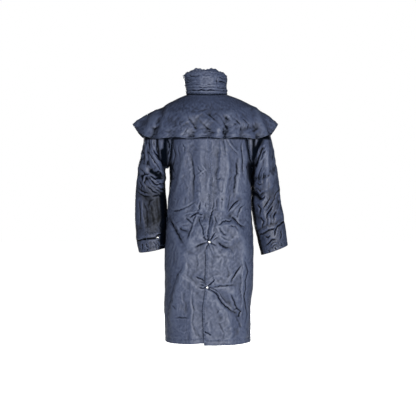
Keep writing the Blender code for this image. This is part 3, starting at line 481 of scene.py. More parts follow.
def read_smoothly(grid, row, column, wraps):
    """A coarse grid of moves, read between its points with smooth weights."""

    def taps(place, count, closed):
        start = np.floor(place).astype(int)
        f = place - start
        weight = [(1 - f) ** 3, 3 * f**3 - 6 * f**2 + 4, 3 * (f + f**2 - f**3) + 1, f**3]
        index = [start + k for k in (-1, 0, 1, 2)]
        index = [i % count if closed else np.clip(i, 0, count - 1) for i in index]
        return [(i, w / 6) for i, w in zip(index, weight)]

    row, column = np.broadcast_arrays(row, column)
    out = np.zeros(row.shape + (3,))
    for i, wi in taps(row, grid.shape[0], False):
        for j, wj in taps(column, grid.shape[1], wraps):
            out += grid[i, j] * (wi * wj)[..., None]
    return out


# across and up from the neck seam, on the front and on the back
SNAPS = {
    False: [(0.0, -0.330 - 0.124 * k) for k in range(6)],
    True: [(-0.0065, -0.688), (0.0040, -0.897)],
}

ROWS, COLUMNS = 150, 140
level, turn = np.linspace(HEM, NECK, ROWS)[:, None], np.linspace(-2, 2, COLUMNS + 1)[None, :-1]
worn = body_form(level, turn)
# the nylon is cut wider than the wearer, most of all where the waist draws it in
ease = 0.005 + 0.012 * np.exp(-(((worn[..., 2:] - WAIST) / 0.07) ** 2))
ease += 0.003 * ramp(worn[..., 2:], -0.56, -0.48)
middle = between(BODY_RINGS, "shift", level)[..., None]
cut = worn * (1, 1, 1.005)
cut[..., :1] = middle + (worn[..., :1] - middle) * (1 + ease)
cut[..., 1:2] *= 1 + ease
# it is held at the shoulders, the armholes and the snaps, and a little at the hem
hold = 0.07 + 0.93 * ramp(worn[..., 2], -0.215, -0.175) + 0.25 * ramp(worn[..., 2], -1.13, HEM)
hold = np.maximum(hold, beside_armhole(level, turn, 0.25, 0.06))
for snap_x, snap_z in SNAPS[True]:
    near = np.hypot(worn[..., 0] - snap_x, worn[..., 2] - snap_z)
    hold = np.maximum(hold, 0.9 * np.exp(-((near / 0.025) ** 2)) * (worn[..., 1] > 0))
body_moves = settled("body_draft", worn, cut, hold, True)


def body_settling(level, turn):
    """How far the body's cloth settles, but not where the sleeves are sewn in."""
    row = (level - HEM) / (NECK - HEM) * (ROWS - 1)
    free = 1 - beside_armhole(level, turn, 0.20, 0.03)
    return read_smoothly(body_moves, row, (turn + 2) / 4 * COLUMNS, True) * free[..., None]


def linear(hex_colour):
    """An sRGB hex colour as linear red, green, blue and alpha."""
    parts = [int(hex_colour[k : k + 2], 16) / 255 for k in (1, 3, 5)]
    return [c / 12.92 if c <= 0.04045 else ((c + 0.055) / 1.055) ** 2.4 for c in parts] + [1.0]


def add_node(material, kind, settings=(), **links):
    """Adds a node. Each link names an input, with _ for a space, and gives a socket or a value."""
    made = material.node_tree.nodes.new("ShaderNode" + kind)
    for name, value in dict(settings).items():
        setattr(made, name, value)
    for name, value in links.items():
        key = int(name[1:]) if name[1:].isdigit() else name.replace("_", " ")
        if isinstance(value, bpy.types.NodeSocket):
            material.node_tree.links.new(value, made.inputs[key])
        else:
            made.inputs[key].default_value = value
    return made


def cloth_material(name, deep, middle, worn_and_highlight_colour, roughness):
    """Nylon taffeta under a thin polyurethane coating, calendered on its outer face."""
    made = bpy.data.materials.new(name)
    made.use_nodes = True
    shader = made.node_tree.nodes["Principled BSDF"]

    def maths(operation, *values):
        terms = {f"_{k}": value for k, value in enumerate(values)}
        return add_node(made, "Math", {"operation": operation}, **terms).outputs[0]

    def attribute(label):
        return add_node(made, "Attribute", {"attribute_name": label}).outputs["Fac"]

    uv = add_node(made, "UVMap", {"uv_map": "cloth"}).outputs[0]
    place = add_node(made, "TexCoord").outputs["Object"]
    seam, run, fold, tone = (attribute(label) for label in ("seam", "run", "fold", "tone"))

    # dye lots and handling leave broad, faint changes of tone
    cloudy = add_node(made, "TexNoise", Vector=place, Scale=11.0, Detail=3.0).outputs["Fac"]
    # painted shade darkens hard creases in their depth, and wear with a painted highlight makes
    # their tops paler; they are also duller in the depth and smoother on top
    tone_with_painted_shade = maths("MULTIPLY_ADD", fold, 0.5, tone)
    mixed = maths("MULTIPLY_ADD", cloudy, 0.24, tone_with_painted_shade)
    colours = add_node(made, "ValToRGB", Fac=maths("SUBTRACT", mixed, 0.12))
    stops = colours.color_ramp.elements
    # its darkest colour is where shade is painted in full, its palest is wear with a painted
    # highlight on ridges
    stops[0].position, stops[0].color = 0.0, linear(deep)
    stops[1].position, stops[1].color = 1.0, linear(worn_and_highlight_colour)
    half_way = stops.new(0.5)
    half_way.color = linear(middle)

    # lockstitch in polyester thread a little lighter than the cloth, with gaps between stitches
    stitch, half_thread = 0.0030, 0.0006
    on_dash = maths("LESS_THAN", maths("FRACT", maths("MULTIPLY", run, 1 / stitch)), 0.68)
    thread = maths("MULTIPLY", on_dash, maths("COMPARE", seam, 0.0, half_thread))
    dyed = add_node(
        made, "MixRGB", Fac=thread, Color1=colours.outputs[0], Color2=linear("#56617c")
    )

    # threads at 0.9 mm, three times their real spacing, or they'd not show at all
    warp, weft = (
        add_node(
            made, "TexWave", {"bands_direction": axis, "wave_profile": "SIN"},
            Vector=uv, Scale=349.0,
        )
        for axis in "XY"
    )
    weave = maths("ADD", warp.outputs["Fac"], weft.outputs["Fac"])
    # handling leaves a net of fine, hard crinkles, about 25 mm apart across and 60 mm down
    bent = add_node(made, "TexNoise", Vector=place, Scale=40.0, Detail=3.0, Roughness=0.6)
    pushed = add_node(
        made, "MixRGB", {"blend_type": "ADD"}, Fac=0.020, Color1=place, Color2=bent.outputs["Color"]
    )
    hung = add_node(
        made, "Mapping", Vector=pushed.outputs[0], Rotation=(0.2, 0.15, 0.0), Scale=(38, 38, 17)
    )
    net = add_node(
        made, "TexVoronoi", {"feature": "DISTANCE_TO_EDGE"}, Vector=hung.outputs[0], Scale=1.0
    )
    hard = maths("MINIMUM", net.outputs["Distance"], 0.22)
    soft = maths("MULTIPLY", bent.outputs["Fac"], 0.25)
    crinkle = maths("MULTIPLY_ADD", hard, 3.2, soft)
    fine = maths("MULTIPLY_ADD", weave, 0.022, crinkle)
    raised = maths("MULTIPLY_ADD", thread, 0.25, fine)
    bump = add_node(made, "Bump", Strength=1.0, Distance=0.0011, Height=raised)
    dulled = add_node(
        made, "MapRange", Value=cloudy, From_Min=0.3, From_Max=0.7,
        To_Min=roughness - 0.05, To_Max=roughness + 0.07,
    )
    worn_off = maths("MULTIPLY_ADD", fold, -0.36, dulled.outputs[0])
    rubbed = maths("MAXIMUM", worn_off, 0.40)
    # painted shade: light doesn't reach into a deep fold or the places where shade is painted, so
    # its film shines less there
    open_to_light = add_node(
        made, "MapRange", Value=fold, From_Min=-1.0, From_Max=-0.45, To_Min=0.03, To_Max=1.0
    )
    links = made.node_tree.links
    links.new(open_to_light.outputs[0], shader.inputs["Specular Tint"])
    links.new(dyed.outputs[0], shader.inputs["Base Color"])
    links.new(rubbed, shader.inputs["Roughness"])
    links.new(bump.outputs[0], shader.inputs["Normal"])
    shader.inputs["IOR"].default_value = 1.53
    shader.inputs["Specular IOR Level"].default_value = 0.3
    return made


# Navy, with a soft grey sheen where it faces the light; its colour is painted darker in creases as
# painted shade, and paler on their tops as wear with a painted highlight.
coated_nylon = cloth_material("coated_nylon_taffeta", "#03060d", "#343c52", "#555d70", 0.50)
# The inner face carries the coating's film: the same dye, deeper and more matt.
coating_film = cloth_material("polyurethane_film", "#030509", "#1c2434", "#29334a", 0.66)


def cloth_piece(
    name, points, node_names, stitched=(), wraps=False, tone=0.5, painted_shade=0.0, pockets=0.15
):
    """Makes one piece of cloth from a grid of points: its wall, its cloth coordinates in
    metres, its rows of stitches and how sharply it is folded, which its colour shows as painted
    shade in creases and as wear with a painted highlight on ridges. It takes its nodes' place.
    tone sets how dark its colour is, tucked is 1 where shade is painted on it at full
    darkness, and pockets is how far its broad hollows count as folds, to be painted in shade."""
    rows, columns = points.shape[:2]
    step = np.linalg.norm(np.diff(points, axis=1, append=points[:, :1]), axis=-1)
    across = np.concatenate([np.zeros((rows, 1)), np.cumsum(step, axis=1)], axis=1)
    fall = np.linalg.norm(np.diff(points, axis=0), axis=-1)
    down = np.concatenate([np.zeros((1, columns)), np.cumsum(fall, axis=0)])
    whole = across[:, -1:] if wraps else across[:, -2:-1]
    places = {
        "first_row": (down, across[:, :-1]),
        "last_row": (down[-1:] - down, across[:, :-1]),
        "first_column": (across[:, :-1], down),
        "last_column": (whole - across[:, :-1], down),
    }
    seam, run = np.full((rows, columns), 1.0), np.zeros((rows, columns))
    for side, inset in stitched:
        distance, along = places[side]
        distance = distance - inset
        closer = np.abs(distance) < np.abs(seam)
        seam, run = np.where(closer, distance, seam), np.where(closer, along, run)
    # the thread draws the cloth in, and puckers it a little every 13 mm
    normal = outward(points, wraps)
    drawn = -0.0010 * np.exp(-((seam / 0.0038) ** 2))
    drawn += 0.00014 * np.sin(run * 480 + 2.5 * np.sin(run * 70)) * np.exp(-((seam / 0.008) ** 2))
    points = points + normal * drawn[..., None]
    normal = outward(points, wraps)
    # how far it rises over the points so many cells away, as a share of a full fold's depth
    fold = 0
    for reach, depth in ((2, 0.0011), (5, 0.0060), (9, 0.0120)):
        beside = 0
        for axis in (0, 1):
            widths = [(reach, reach) if k == axis else (0, 0) for k in range(3)]
            if axis == 1 and wraps:
                padded = np.pad(points, widths, mode="wrap")
            else:
                padded = np.pad(points, widths, mode="reflect", reflect_type="odd")
            beside = beside + np.take(padded, range(2 * reach, padded.shape[axis]), axis=axis)
            beside = beside + np.take(padded, range(points.shape[axis]), axis=axis)
        raised = np.sum((points - beside / 4) * normal, axis=-1)
        share = 1 if reach == 2 else pockets
        fold = fold + share * (raised - np.median(raised)) / depth
    # a coarse grid sees further, and finds more
    fold = np.clip(fold * min(1, (BACK_SPACING / np.median(step)) ** 2), -1, 0.3)
    # painted shade: where shade is painted on, the fold value goes to its darkest
    fold = fold * (1 - painted_shade) - painted_shade
    tone = tone + np.zeros((rows, columns))
    # two skins, joined round the edges
    count = rows * columns
    grid, skin = quads(rows, columns, wraps)
    rims = [grid[0], grid[-1][::-1]] + ([] if wraps else [grid[:, -1], grid[::-1, 0]])
    outer, inner = points + normal * CLOTH / 2, points - normal * CLOTH / 2
    faces = [skin, skin[:, ::-1] + count]
    faces += [np.stack([r[1:], r[:-1], r[:-1] + count, r[1:] + count], axis=-1) for r in rims]
    faces = np.concatenate(faces)
    centre = points.reshape(-1, 3).mean(axis=0)
    a, b, c = (outer.reshape(-1, 3)[skin[:, k]] for k in range(3))
    if np.sum(np.cross(b - a, c - a) * (a - centre)) < 0:
        faces = faces[:, ::-1]
    mesh = bpy.data.meshes.new(name)
    corners = np.concatenate([outer.reshape(-1, 3), inner.reshape(-1, 3)])
    mesh.from_pydata(corners.tolist(), [], faces.tolist())
    mesh.shade_smooth()
    seen = across[:, :columns] if not wraps else across[:, :-1]
    cloth_places = np.stack([seen, down], axis=-1).reshape(-1, 2)
    cloth_places = np.concatenate([cloth_places, cloth_places])[faces.ravel()]
    if wraps:
        # the last cell before the seam reads the far end of the round, not its start
        u = cloth_places[:, 0].reshape(-1, 4)
        total = whole.max()
        u[(u.max(axis=1) > total * 0.7)[:, None] & (u < total * 0.3)] += total
        cloth_places[:, 0] = u.ravel()
    mesh.uv_layers.new(name="cloth").data.foreach_set(
        "uv", cloth_places.astype(np.float32).ravel()
    )
    for label, values in (("seam", seam), ("run", run), ("fold", fold), ("tone", tone)):
        both = np.concatenate([values.ravel(), values.ravel()]).astype(np.float32)
        mesh.attributes.new(label, "FLOAT", "POINT").data.foreach_set("value", both)
    mesh.materials.append(coated_nylon)
    mesh.materials.append(coating_film)
    # its inner skin shows the film
    inside = np.zeros(len(faces), np.int32)
    inside[len(skin) : 2 * len(skin)] = 1
    mesh.polygons.foreach_set("material_index", inside)
    made = bpy.data.objects.new(name, mesh)
    bpy.context.scene.collection.objects.link(made)
    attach(made, "root")
    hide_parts(*node_names)
    return made


def body_panel(name, node_name, side, at_back, spacing, centre_turn, stitched, lap, vent, rise):
    """One back or front, from its centre edge to its side seam and armhole. side is 1 on the
    left and -1 on the right, and centre_turn gives the line of its centre edge. lap and vent
    lift it off the layer below, and rise lifts its hem at the centre edge."""
    armhole_edge, shoulder_edge, width = 0.36, 0.07, 0.27
    # rows a spacing apart, closest where the armhole starts and ends
    phase = np.linspace(0, 1, round(armhole_edge / spacing))
    armhole = 0.8 * (0.5 - 0.5 * np.cos(math.pi * phase)) + 0.2 * phase
    closing_up = 0.020 * (1 - np.linspace(0, 1, 10)[1:-1]) ** 2
    levels = np.concatenate(
        [
            np.linspace(HEM, UNDERARM - 0.020, round((UNDERARM - 0.020 - HEM) / spacing)),
            UNDERARM - closing_up,
            UNDERARM + (SHOULDER - UNDERARM) * armhole,
            np.linspace(SHOULDER, NECK, round(shoulder_edge / spacing))[1:],
        ]
    )
    edge = np.where(
        (levels > UNDERARM) & (levels < SHOULDER), armhole_turn(levels, at_back), 1.0
    )
    share = np.linspace(0, 1, round(width / spacing))[None, :]
    centre = centre_turn(levels)[:, None]
    turn = side * (centre + (edge[:, None] - centre) * share)
    level = np.broadcast_to(levels[:, None], turn.shape)
    level = level + rise * ramp(level, VENT_TOP, HEM) * (1 - share) ** 2
    points = body_form(level, turn, lap, vent)
    x, z = points[..., 0], points[..., 2]
    sideways = np.abs(np.cos(turn * math.pi / 2))
    fade = ramp(sideways, 0.0, 0.30) * (1 - ramp(level, -0.19, -0.15))
    if at_back:
        height = creased(BACK_CREASES, -x, z) * fade
    else:
        height = creased(FRONT_CREASES, x, z) * fade
    # handling leaves facets everywhere, deepest round the waist
    at_waist = np.exp(-(((z - WAIST) / 0.075) ** 2))
    run = turn * QUARTER + 0 * z
    facets = crumpled(run, z, 0.034, 0.080, 0.0013, 3) * (0.6 + 0.8 * at_waist)
    facets = facets + crumpled(run, z, 0.013, 0.030, 0.0006, 4) * (0.8 + 0.7 * at_waist)
    height = height + facets * (1 - ramp(level, -0.19, -0.15))
    # the seams sink between their two panels, but not where a sleeve lies against them
    to_side = (1 - share) * 0.26
    apart = 1 - ramp(level, -0.54, -0.50) * ramp(level, UNDERARM + 0.03, UNDERARM)
    height = height - 0.0016 * np.exp(-((to_side / 0.004) ** 2)) * apart
    free = 1 - beside_armhole(level, turn, 0.10, 0.01)
    # the snaps clamp it flat
    for snap_x, snap_z in SNAPS[at_back]:
        free = free * ramp(np.hypot(x - snap_x, z - snap_z), 0.005, 0.011)
    points = points + outward(points) * (height * free)[..., None]
    points = points + 0.7 * body_settling(level, turn)
    # painted shade: under the arms its sides are darkened where they lie behind the sleeves, and so
    # is its edge at the armhole
    aside = np.abs(1 - np.abs(turn)) * QUARTER
    reach = 0.050 + 0.062 * ramp(level, -0.47, -0.38)
    below = ramp(level, -0.80, -0.66) * ramp(level, UNDERARM + 0.030, UNDERARM - 0.010)
    under_arm = below * ramp(aside, reach, reach - 0.042)
    reach = 0.022 + 0.020 * ramp(level, UNDERARM + 0.070, UNDERARM)
    at_armhole = ramp(to_side, reach, 0.4 * reach) * ramp(level, UNDERARM, UNDERARM + 0.004)
    painted_shade = np.maximum(under_arm, at_armhole)
    if at_back:
        # painted shadow: its top is darkened where the cape covers it
        painted_shade = np.maximum(painted_shade, 0.9 * ramp(z, -0.216, -0.208))
    if at_back and side > 0:
        # painted shadow: the left back's edge of the vent is darkened where it lies under the right
        # one's
        beyond = (turn + RIGHT_EDGE(level)) * QUARTER
        under_lap = ramp(level, -0.715, -0.745) * ramp(beyond, 0.0050, 0.0015)
        painted_shade = np.maximum(painted_shade, 0.9 * under_lap)
    return cloth_piece(name, points, [node_name], stitched, painted_shade=painted_shade)


def vent_edge(past_centre, wander):
    """How far past the centre back a back's edge runs, level by level."""
    at, by = zip(*wander)
    return lambda levels: (
        past_centre * ramp(levels, VENT_TOP, VENT_TOP - 0.035) + np.interp(levels, at, by)
    )


# the upper lap's edge isn't quite straight
RIGHT_EDGE = vent_edge(
    -0.055,
    ((HEM, -0.010), (-1.01, -0.036), (-0.90, -0.008), (-0.86, -0.018), (-0.80, -0.010),
     (-0.76, -0.004), (-0.735, -0.020), (-0.700, 0)),
)
back_left = body_panel(
    "back_left_cloth", "back_left", 1, True, BACK_SPACING,
    vent_edge(-0.130, ((HEM, 0), (VENT_TOP, 0))),
    (("first_row", 0.020), ("first_column", 0.006), ("last_column", 0.004)),
    0.0, -LAP_LIFT, 0.014,
)
back_right = body_panel(
    "back_right_cloth", "back_right", -1, True, BACK_SPACING, RIGHT_EDGE,
    (("first_row", 0.022), ("first_column", 0.006), ("last_column", 0.004)),
    0.0, LAP_LIFT, 0.0,
)


# The two fronts --------------------------------------------------------------------------
# The same nylon. The left front laps over the right and closes with a row of snaps. Its edge
# is sewn down with two rows of stitches. They have the same kind of creases as the backs.

FRONT_CREASES = (
    # drapes from the chest to the waist
    Crease(8, 8, 2.5, 0, ((-150, -240), (-146, -330), (-140, -440), (-128, -540))),
    Crease(6, 9, -2.25, 0, ((-112, -230), (-104, -330), (-110, -430), (-104, -530))),
    Crease(9, 6, 2.5, 0, ((-76, -235), (-70, -320), (-78, -420), (-74, -520))),
    Crease(5, 9, -1.75, 0, ((62, -235), (70, -330), (66, -430), (76, -530))),
    Crease(7, 7, 2.5, 0, ((98, -230), (106, -330), (100, -420), (106, -530))),
    Crease(8, 5, -2.25, 0, ((138, -240), (144, -330), (136, -430), (128, -530))),
    Crease(5, 5, 1.5, 0, ((-60, -300), (-30, -340), (-24, -380))),
    Crease(5, 5, -1, 0, ((34, -280), (58, -320), (64, -370))),
    # the drawn-in waist and its gathers
    Crease(5, 5, -1.25, 0, ((-180, -560), (-140, -578), (-96, -566), (-52, -580))),
    Crease(5, 5, -1.25, 0, ((42, -572), (84, -584), (128, -568), (178, -580))),
    Crease(5, 5, -1, 0, ((-120, -500), (-114, -540), (-118, -590))),
    Crease(5, 5, 1, 0, ((-98, -510), (-94, -560))),
    Crease(5, 5, -1, 0, ((-66, -505), (-60, -545), (-66, -600))),
    Crease(5, 5, -1, 0, ((70, -500), (66, -550), (74, -596))),
    Crease(5, 5, 1, 0, ((92, -512), (90, -562))),
    Crease(5, 5, -1, 0, ((116, -500), (122, -548), (114, -590))),
    Crease(5, 8, -2, 0, ((-158, -596), (-130, -610), (-104, -640))),
    Crease(8, 5, -2, 0, ((156, -600), (126, -616), (100, -650))),
    Crease(5, 5, 1.5, 0, ((-70, -600), (-54, -640), (-60, -690))),
    Crease(5, 5, 1.5, 0, ((64, -604), (58, -650), (66, -700))),
    # creases that the snaps pull
    Crease(5, 5, -1.5, 1, ((6, -330), (34, -322), (56, -334))),
    Crease(5, 5, -1.5, 1, ((6, -456), (30, -470), (52, -468))),
    Crease(5, 5, -1.75, 1, ((6, -578), (34, -566), (62, -572))),
    Crease(5, 5, -1.75, 1, ((-34, -580), (-60, -594), (-92, -588))),
    Crease(5, 5, -1.75, 1, ((6, -704), (38, -722), (66, -752))),
    Crease(5, 5, -1.5, 1, ((-34, -702), (-64, -690), (-96, -700))),
    Crease(5, 5, -1.5, 1, ((6, -826), (40, -818), (72, -834))),
    Crease(8, 9, -2, 1, ((6, -952), (44, -980), (84, -1030), (122, -1052))),
    Crease(5, 5, -1.5, 1, ((-34, -950), (-70, -940), (-108, -958))),
    # the skirt's long falls
    Crease(20, 7, 3.5, 0, ((60, -700), (84, -800), (104, -920), (108, -1080))),
    Crease(8, 20, 3.5, 0, ((-64, -690), (-90, -800), (-112, -930), (-116, -1090))),
    Crease(8, 8, -1.75, 0, ((150, -700), (156, -820), (152, -960), (158, -1110))),
    Crease(8, 8, -1.75, 0, ((-152, -700), (-158, -830), (-154, -970), (-160, -1110))),
    Crease(5, 5, -1, 0, ((-130, -860), (-100, -868), (-70, -860))),
    Crease(5, 5, -1, 0, ((70, -900), (104, -894), (134, -904))),
    Crease(5, 5, -1, 0, ((50, -1060), (58, -1110), (52, -1150))),
    Crease(5, 5, -1, 0, ((-60, -1050), (-54, -1100), (-62, -1150))),
)


def front_edge(levels):
    """Both fronts run on past the centre front by the same 53 mm, at any level."""
    return np.full(levels.shape, 2.170)


front_left = body_panel(
    "front_left_cloth", "front_left", 1, False, FRONT_SPACING, front_edge,
    (("first_row", 0.020), ("first_column", 0.008), ("first_column", 0.055),
     ("last_column", 0.004)),
    LAP_LIFT, 0.0, 0.0,
)
front_right = body_panel(
    "front_right_cloth", "front_right", -1, False, FRONT_SPACING, front_edge,
    (("first_row", 0.020), ("first_column", 0.008), ("last_column", 0.004)),
    -LAP_LIFT, 0.0, 0.0,
)

# The sleeves -----------------------------------------------------------------------------
# One piece of nylon each, closed by a seam along the inner line and set into the armhole. They
# are cut longer than the arm, so they crumple at the elbow and fold over above the cuff.

SLEEVE_LENGTH, SLEEVE_RADIUS = 0.60, 0.075
SLEEVE_COLUMNS = 156

# A sleeve's ring is seen edge-on from behind, as a line from its inner to its outer point.
Section = namedtuple("Section", "at inner_x inner_z outer_x outer_z middle_y reach")

LEFT_SLEEVE = (
    Section(0.00, 0.190, UNDERARM, 0.205, SHOULDER, 0.000, ARMHOLE_REACH),
    Section(0.03, 0.1950, -0.3260, 0.246, -0.083, -0.002, 0.090),
    Section(0.06, 0.2000, -0.3340, 0.280, -0.124, -0.005, 0.093),
    Section(0.10, 0.2045, -0.3435, 0.303, -0.170, -0.010, 0.092),
    Section(0.15, 0.2075, -0.356, 0.316, -0.225, -0.017, 0.089),
    Section(0.20, 0.2075, -0.384, 0.327, -0.287, -0.025, 0.085),
    Section(0.26, 0.2070, -0.427, 0.338, -0.355, -0.033, 0.081),
    Section(0.32, 0.2035, -0.474, 0.3485, -0.425, -0.041, 0.078),
    Section(0.38, 0.1985, -0.527, 0.354, -0.500, -0.048, 0.076),
    Section(0.45, 0.1975, -0.590, 0.354, -0.580, -0.052, 0.074),
    Section(0.52, 0.2010, -0.657, 0.349, -0.655, -0.053, 0.072),
    Section(0.57, 0.2045, -0.703, 0.343, -0.711, -0.053, 0.071),
    Section(0.60, 0.2065, -0.726, 0.335, -0.739, -0.053, 0.070),
)

RIGHT_SLEEVE = (
    Section(0.00, 0.205, UNDERARM, 0.205, SHOULDER, 0.000, ARMHOLE_REACH),
    Section(0.03, 0.2075, -0.3205, 0.245, -0.083, -0.002, 0.090),
    Section(0.06, 0.2092, -0.3260, 0.277, -0.124, -0.006, 0.092),
    Section(0.10, 0.2082, -0.336, 0.296, -0.170, -0.012, 0.091),
    Section(0.15, 0.2073, -0.356, 0.311, -0.225, -0.020, 0.088),
    Section(0.20, 0.2075, -0.384, 0.323, -0.287, -0.028, 0.084),
    Section(0.26, 0.2085, -0.427, 0.336, -0.355, -0.036, 0.080),
    Section(0.32, 0.2090, -0.474, 0.346, -0.422, -0.042, 0.077),
    Section(0.38, 0.2115, -0.524, 0.352, -0.492, -0.046, 0.075),
    Section(0.45, 0.2205, -0.592, 0.366, -0.570, -0.049, 0.073),
    Section(0.52, 0.2370, -0.670, 0.3780, -0.642, -0.050, 0.072),
    Section(0.57, 0.2500, -0.724, 0.3840, -0.686, -0.050, 0.071),
    Section(0.60, 0.2595, -0.759, 0.3870, -0.708, -0.050, 0.070),
)

# Broad folds of a sleeve run from one place round it, in degrees from its inner line by way of
# the back, and one distance down it, in metres, to another.
Roll = namedtuple("Roll", "turn0 down0 turn1 down1 width height")

LEFT_ROLLS = (
    Roll(100, 0.090, 74, 0.140, 0.034, 0.006),
    Roll(60, 0.160, 18, 0.185, 0.040, 0.007),
    Roll(110, 0.200, 52, 0.222, 0.026, -0.008),
    Roll(125, 0.272, 60, 0.258, 0.022, -0.007),
    Roll(160, 0.240, 120, 0.235, 0.022, 0.005),
    Roll(150, 0.310, 112, 0.350, 0.022, -0.002),
    Roll(112, 0.365, 108, 0.475, 0.024, -0.003),
    Roll(148, 0.370, 146, 0.460, 0.024, 0.003),
    Roll(66, 0.340, 72, 0.430, 0.024, 0.002),
    Roll(105, 0.488, 24, 0.458, 0.022, 0.005),
    Roll(230, 0.120, 300, 0.190, 0.022, -0.007),
    Roll(210, 0.185, 290, 0.235, 0.022, 0.006),
    Roll(220, 0.268, 310, 0.285, 0.022, -0.007),
    Roll(235, 0.340, 250, 0.460, 0.024, 0.005),
    Roll(290, 0.350, 285, 0.450, 0.024, -0.005),
)

RIGHT_ROLLS = (
    Roll(60, 0.100, 38, 0.145, 0.034, -0.005),
    Roll(88, 0.095, 62, 0.175, 0.036, 0.005),
    Roll(112, 0.110, 106, 0.310, 0.026, 0.007),
    Roll(38, 0.225, 88, 0.248, 0.022, -0.007),
    Roll(155, 0.240, 120, 0.248, 0.022, -0.005),
    Roll(25, 0.300, 60, 0.335, 0.022, -0.006),
    Roll(118, 0.345, 100, 0.425, 0.022, -0.004),
    Roll(66, 0.360, 76, 0.430, 0.024, 0.004),
    Roll(45, 0.475, 150, 0.445, 0.022, 0.006),
    Roll(230, 0.120, 300, 0.190, 0.022, -0.007),
    Roll(210, 0.195, 290, 0.230, 0.022, 0.006),
    Roll(215, 0.268, 310, 0.278, 0.022, -0.007),
    Roll(240, 0.340, 252, 0.440, 0.024, 0.005),
    Roll(285, 0.350, 280, 0.440, 0.024, -0.005),
)

LEFT_SLEEVE_CREASES = (
    # the head of the sleeve
    Crease(3.8, 4, -6.75, 0, ((-276, -187), (-277, -240), (-275, -266))),
    Crease(4, 4, 4.75, 0, ((-258, -187), (-259, -230), (-255, -264))),
    Crease(4, 4, -6.75, 0, ((-239, -187), (-241, -254), (-238, -307))),
    Crease(6, 6, 5.75, 0, ((-214, -192), (-215, -244), (-218, -283))),
    Crease(4, 3.8, 4.75, 0, ((-226, -264), (-217, -302), (-201, -330))),
    Crease(4, 4, -8.5, 0, ((-190, -187), (-183, -225), (-179, -254), (-189, -307))),
    Crease(6, 6, 4.75, 0, ((-306, -197), (-294, -254), (-291, -302), (-309, -354))),
    Crease(3.8, 3.8, -3.75, 0, ((-318, -254), (-304, -278), (-308, -316))),
    # the strap-like fold across to the elbow, with a pocket under it
    Crease(3.8, 3.8, -6.75, 0,
           ((-287, -259), (-265, -295), (-246, -323), (-227, -350), (-208, -375))),
    Crease(3.8, 4, -6.75, 0,
           ((-269, -242), (-246, -275), (-224, -304), (-205, -330), (-191, -357))),
    Crease(9, 9, 6.75, 0, ((-278, -249), (-256, -285), (-234, -315), (-215, -341), (-195, -366))),
    Crease(7, 6, -12.25, 0, ((-246, -352), (-224, -371), (-203, -390))),
    # crumples of the elbow
    Crease(3.8, 5, -8.5, 0, ((-280, -371), (-249, -393), (-207, -390))),
    Crease(4, 3.8, 5.75, 0, ((-340, -439), (-320, -457), (-304, -465), (-267, -471))),
    Crease(3.8, 3.8, -4.25, 0, ((-275, -399), (-244, -421), (-203, -412))),
    Crease(4, 5, 5.75, 0, ((-295, -369), (-309, -412), (-291, -455))),
    Crease(4, 3.8, 5.75, 0, ((-253, -431), (-220, -452), (-196, -443))),
    Crease(3.8, 3.8, -3.75, 0, ((-328, -340), (-301, -371), (-267, -371))),
    Crease(3.8, 3.8, -4.25, 0, ((-291, -421), (-263, -452), (-224, -469))),
    Crease(3.8, 3.8, -3.25, 0, ((-269, -478), (-236, -469), (-201, -486))),
    Crease(3.8, 3.8, 4.75, 0, ((-285, -388), (-266, -419), (-232, -438))),
    Crease(3.8, 3.8, -2.75, 0, ((-330, -394), (-315, -424), (-320, -455))),
    Crease(3.8, 3.8, 3.75, 0, ((-244, -405), (-223, -431), (-201, -429))),
    # the forearm
    Crease(14, 8, -3.25, 0, ((-301, -478), (-292, -579), (-287, -665))),
    Crease(8, 12, -2.75, 0, ((-287, -474), (-270, -531), (-261, -584), (-250, -641))),
    Crease(5, 8, 2.5, 0, ((-317, -483), (-315, -564), (-309, -655))),
    Crease(8, 6, 2.75, 0, ((-242, -474), (-228, -550), (-231, -627))),
    Crease(3.8, 4, -3.75, 0, ((-218, -579), (-229, -617), (-212, -633))),
    Crease(4, 4, -2, 0, ((-327, -483), (-323, -560), (-325, -646))),
    # the sleeve folded over its gathered cuff
    Crease(34, 2, 10.5, 1,
           ((-308, -678), (-288, -675), (-272, -675), (-254, -669), (-239, -657), (-221, -646),
            (-191, -639))),
    Crease(3.8, 3.8, -3.25, 0, ((-301, -698), (-288, -717), (-293, -741))),
    Crease(3.8, 3.8, -2.75, 0, ((-317, -698), (-311, -732))),
    Crease(2.5, 2.5, -2.75, 0, ((-266, -691), (-248, -706), (-245, -732))),
    Crease(2.5, 2.5, 2.75, 0, ((-248, -686), (-232, -705), (-227, -730))),
)

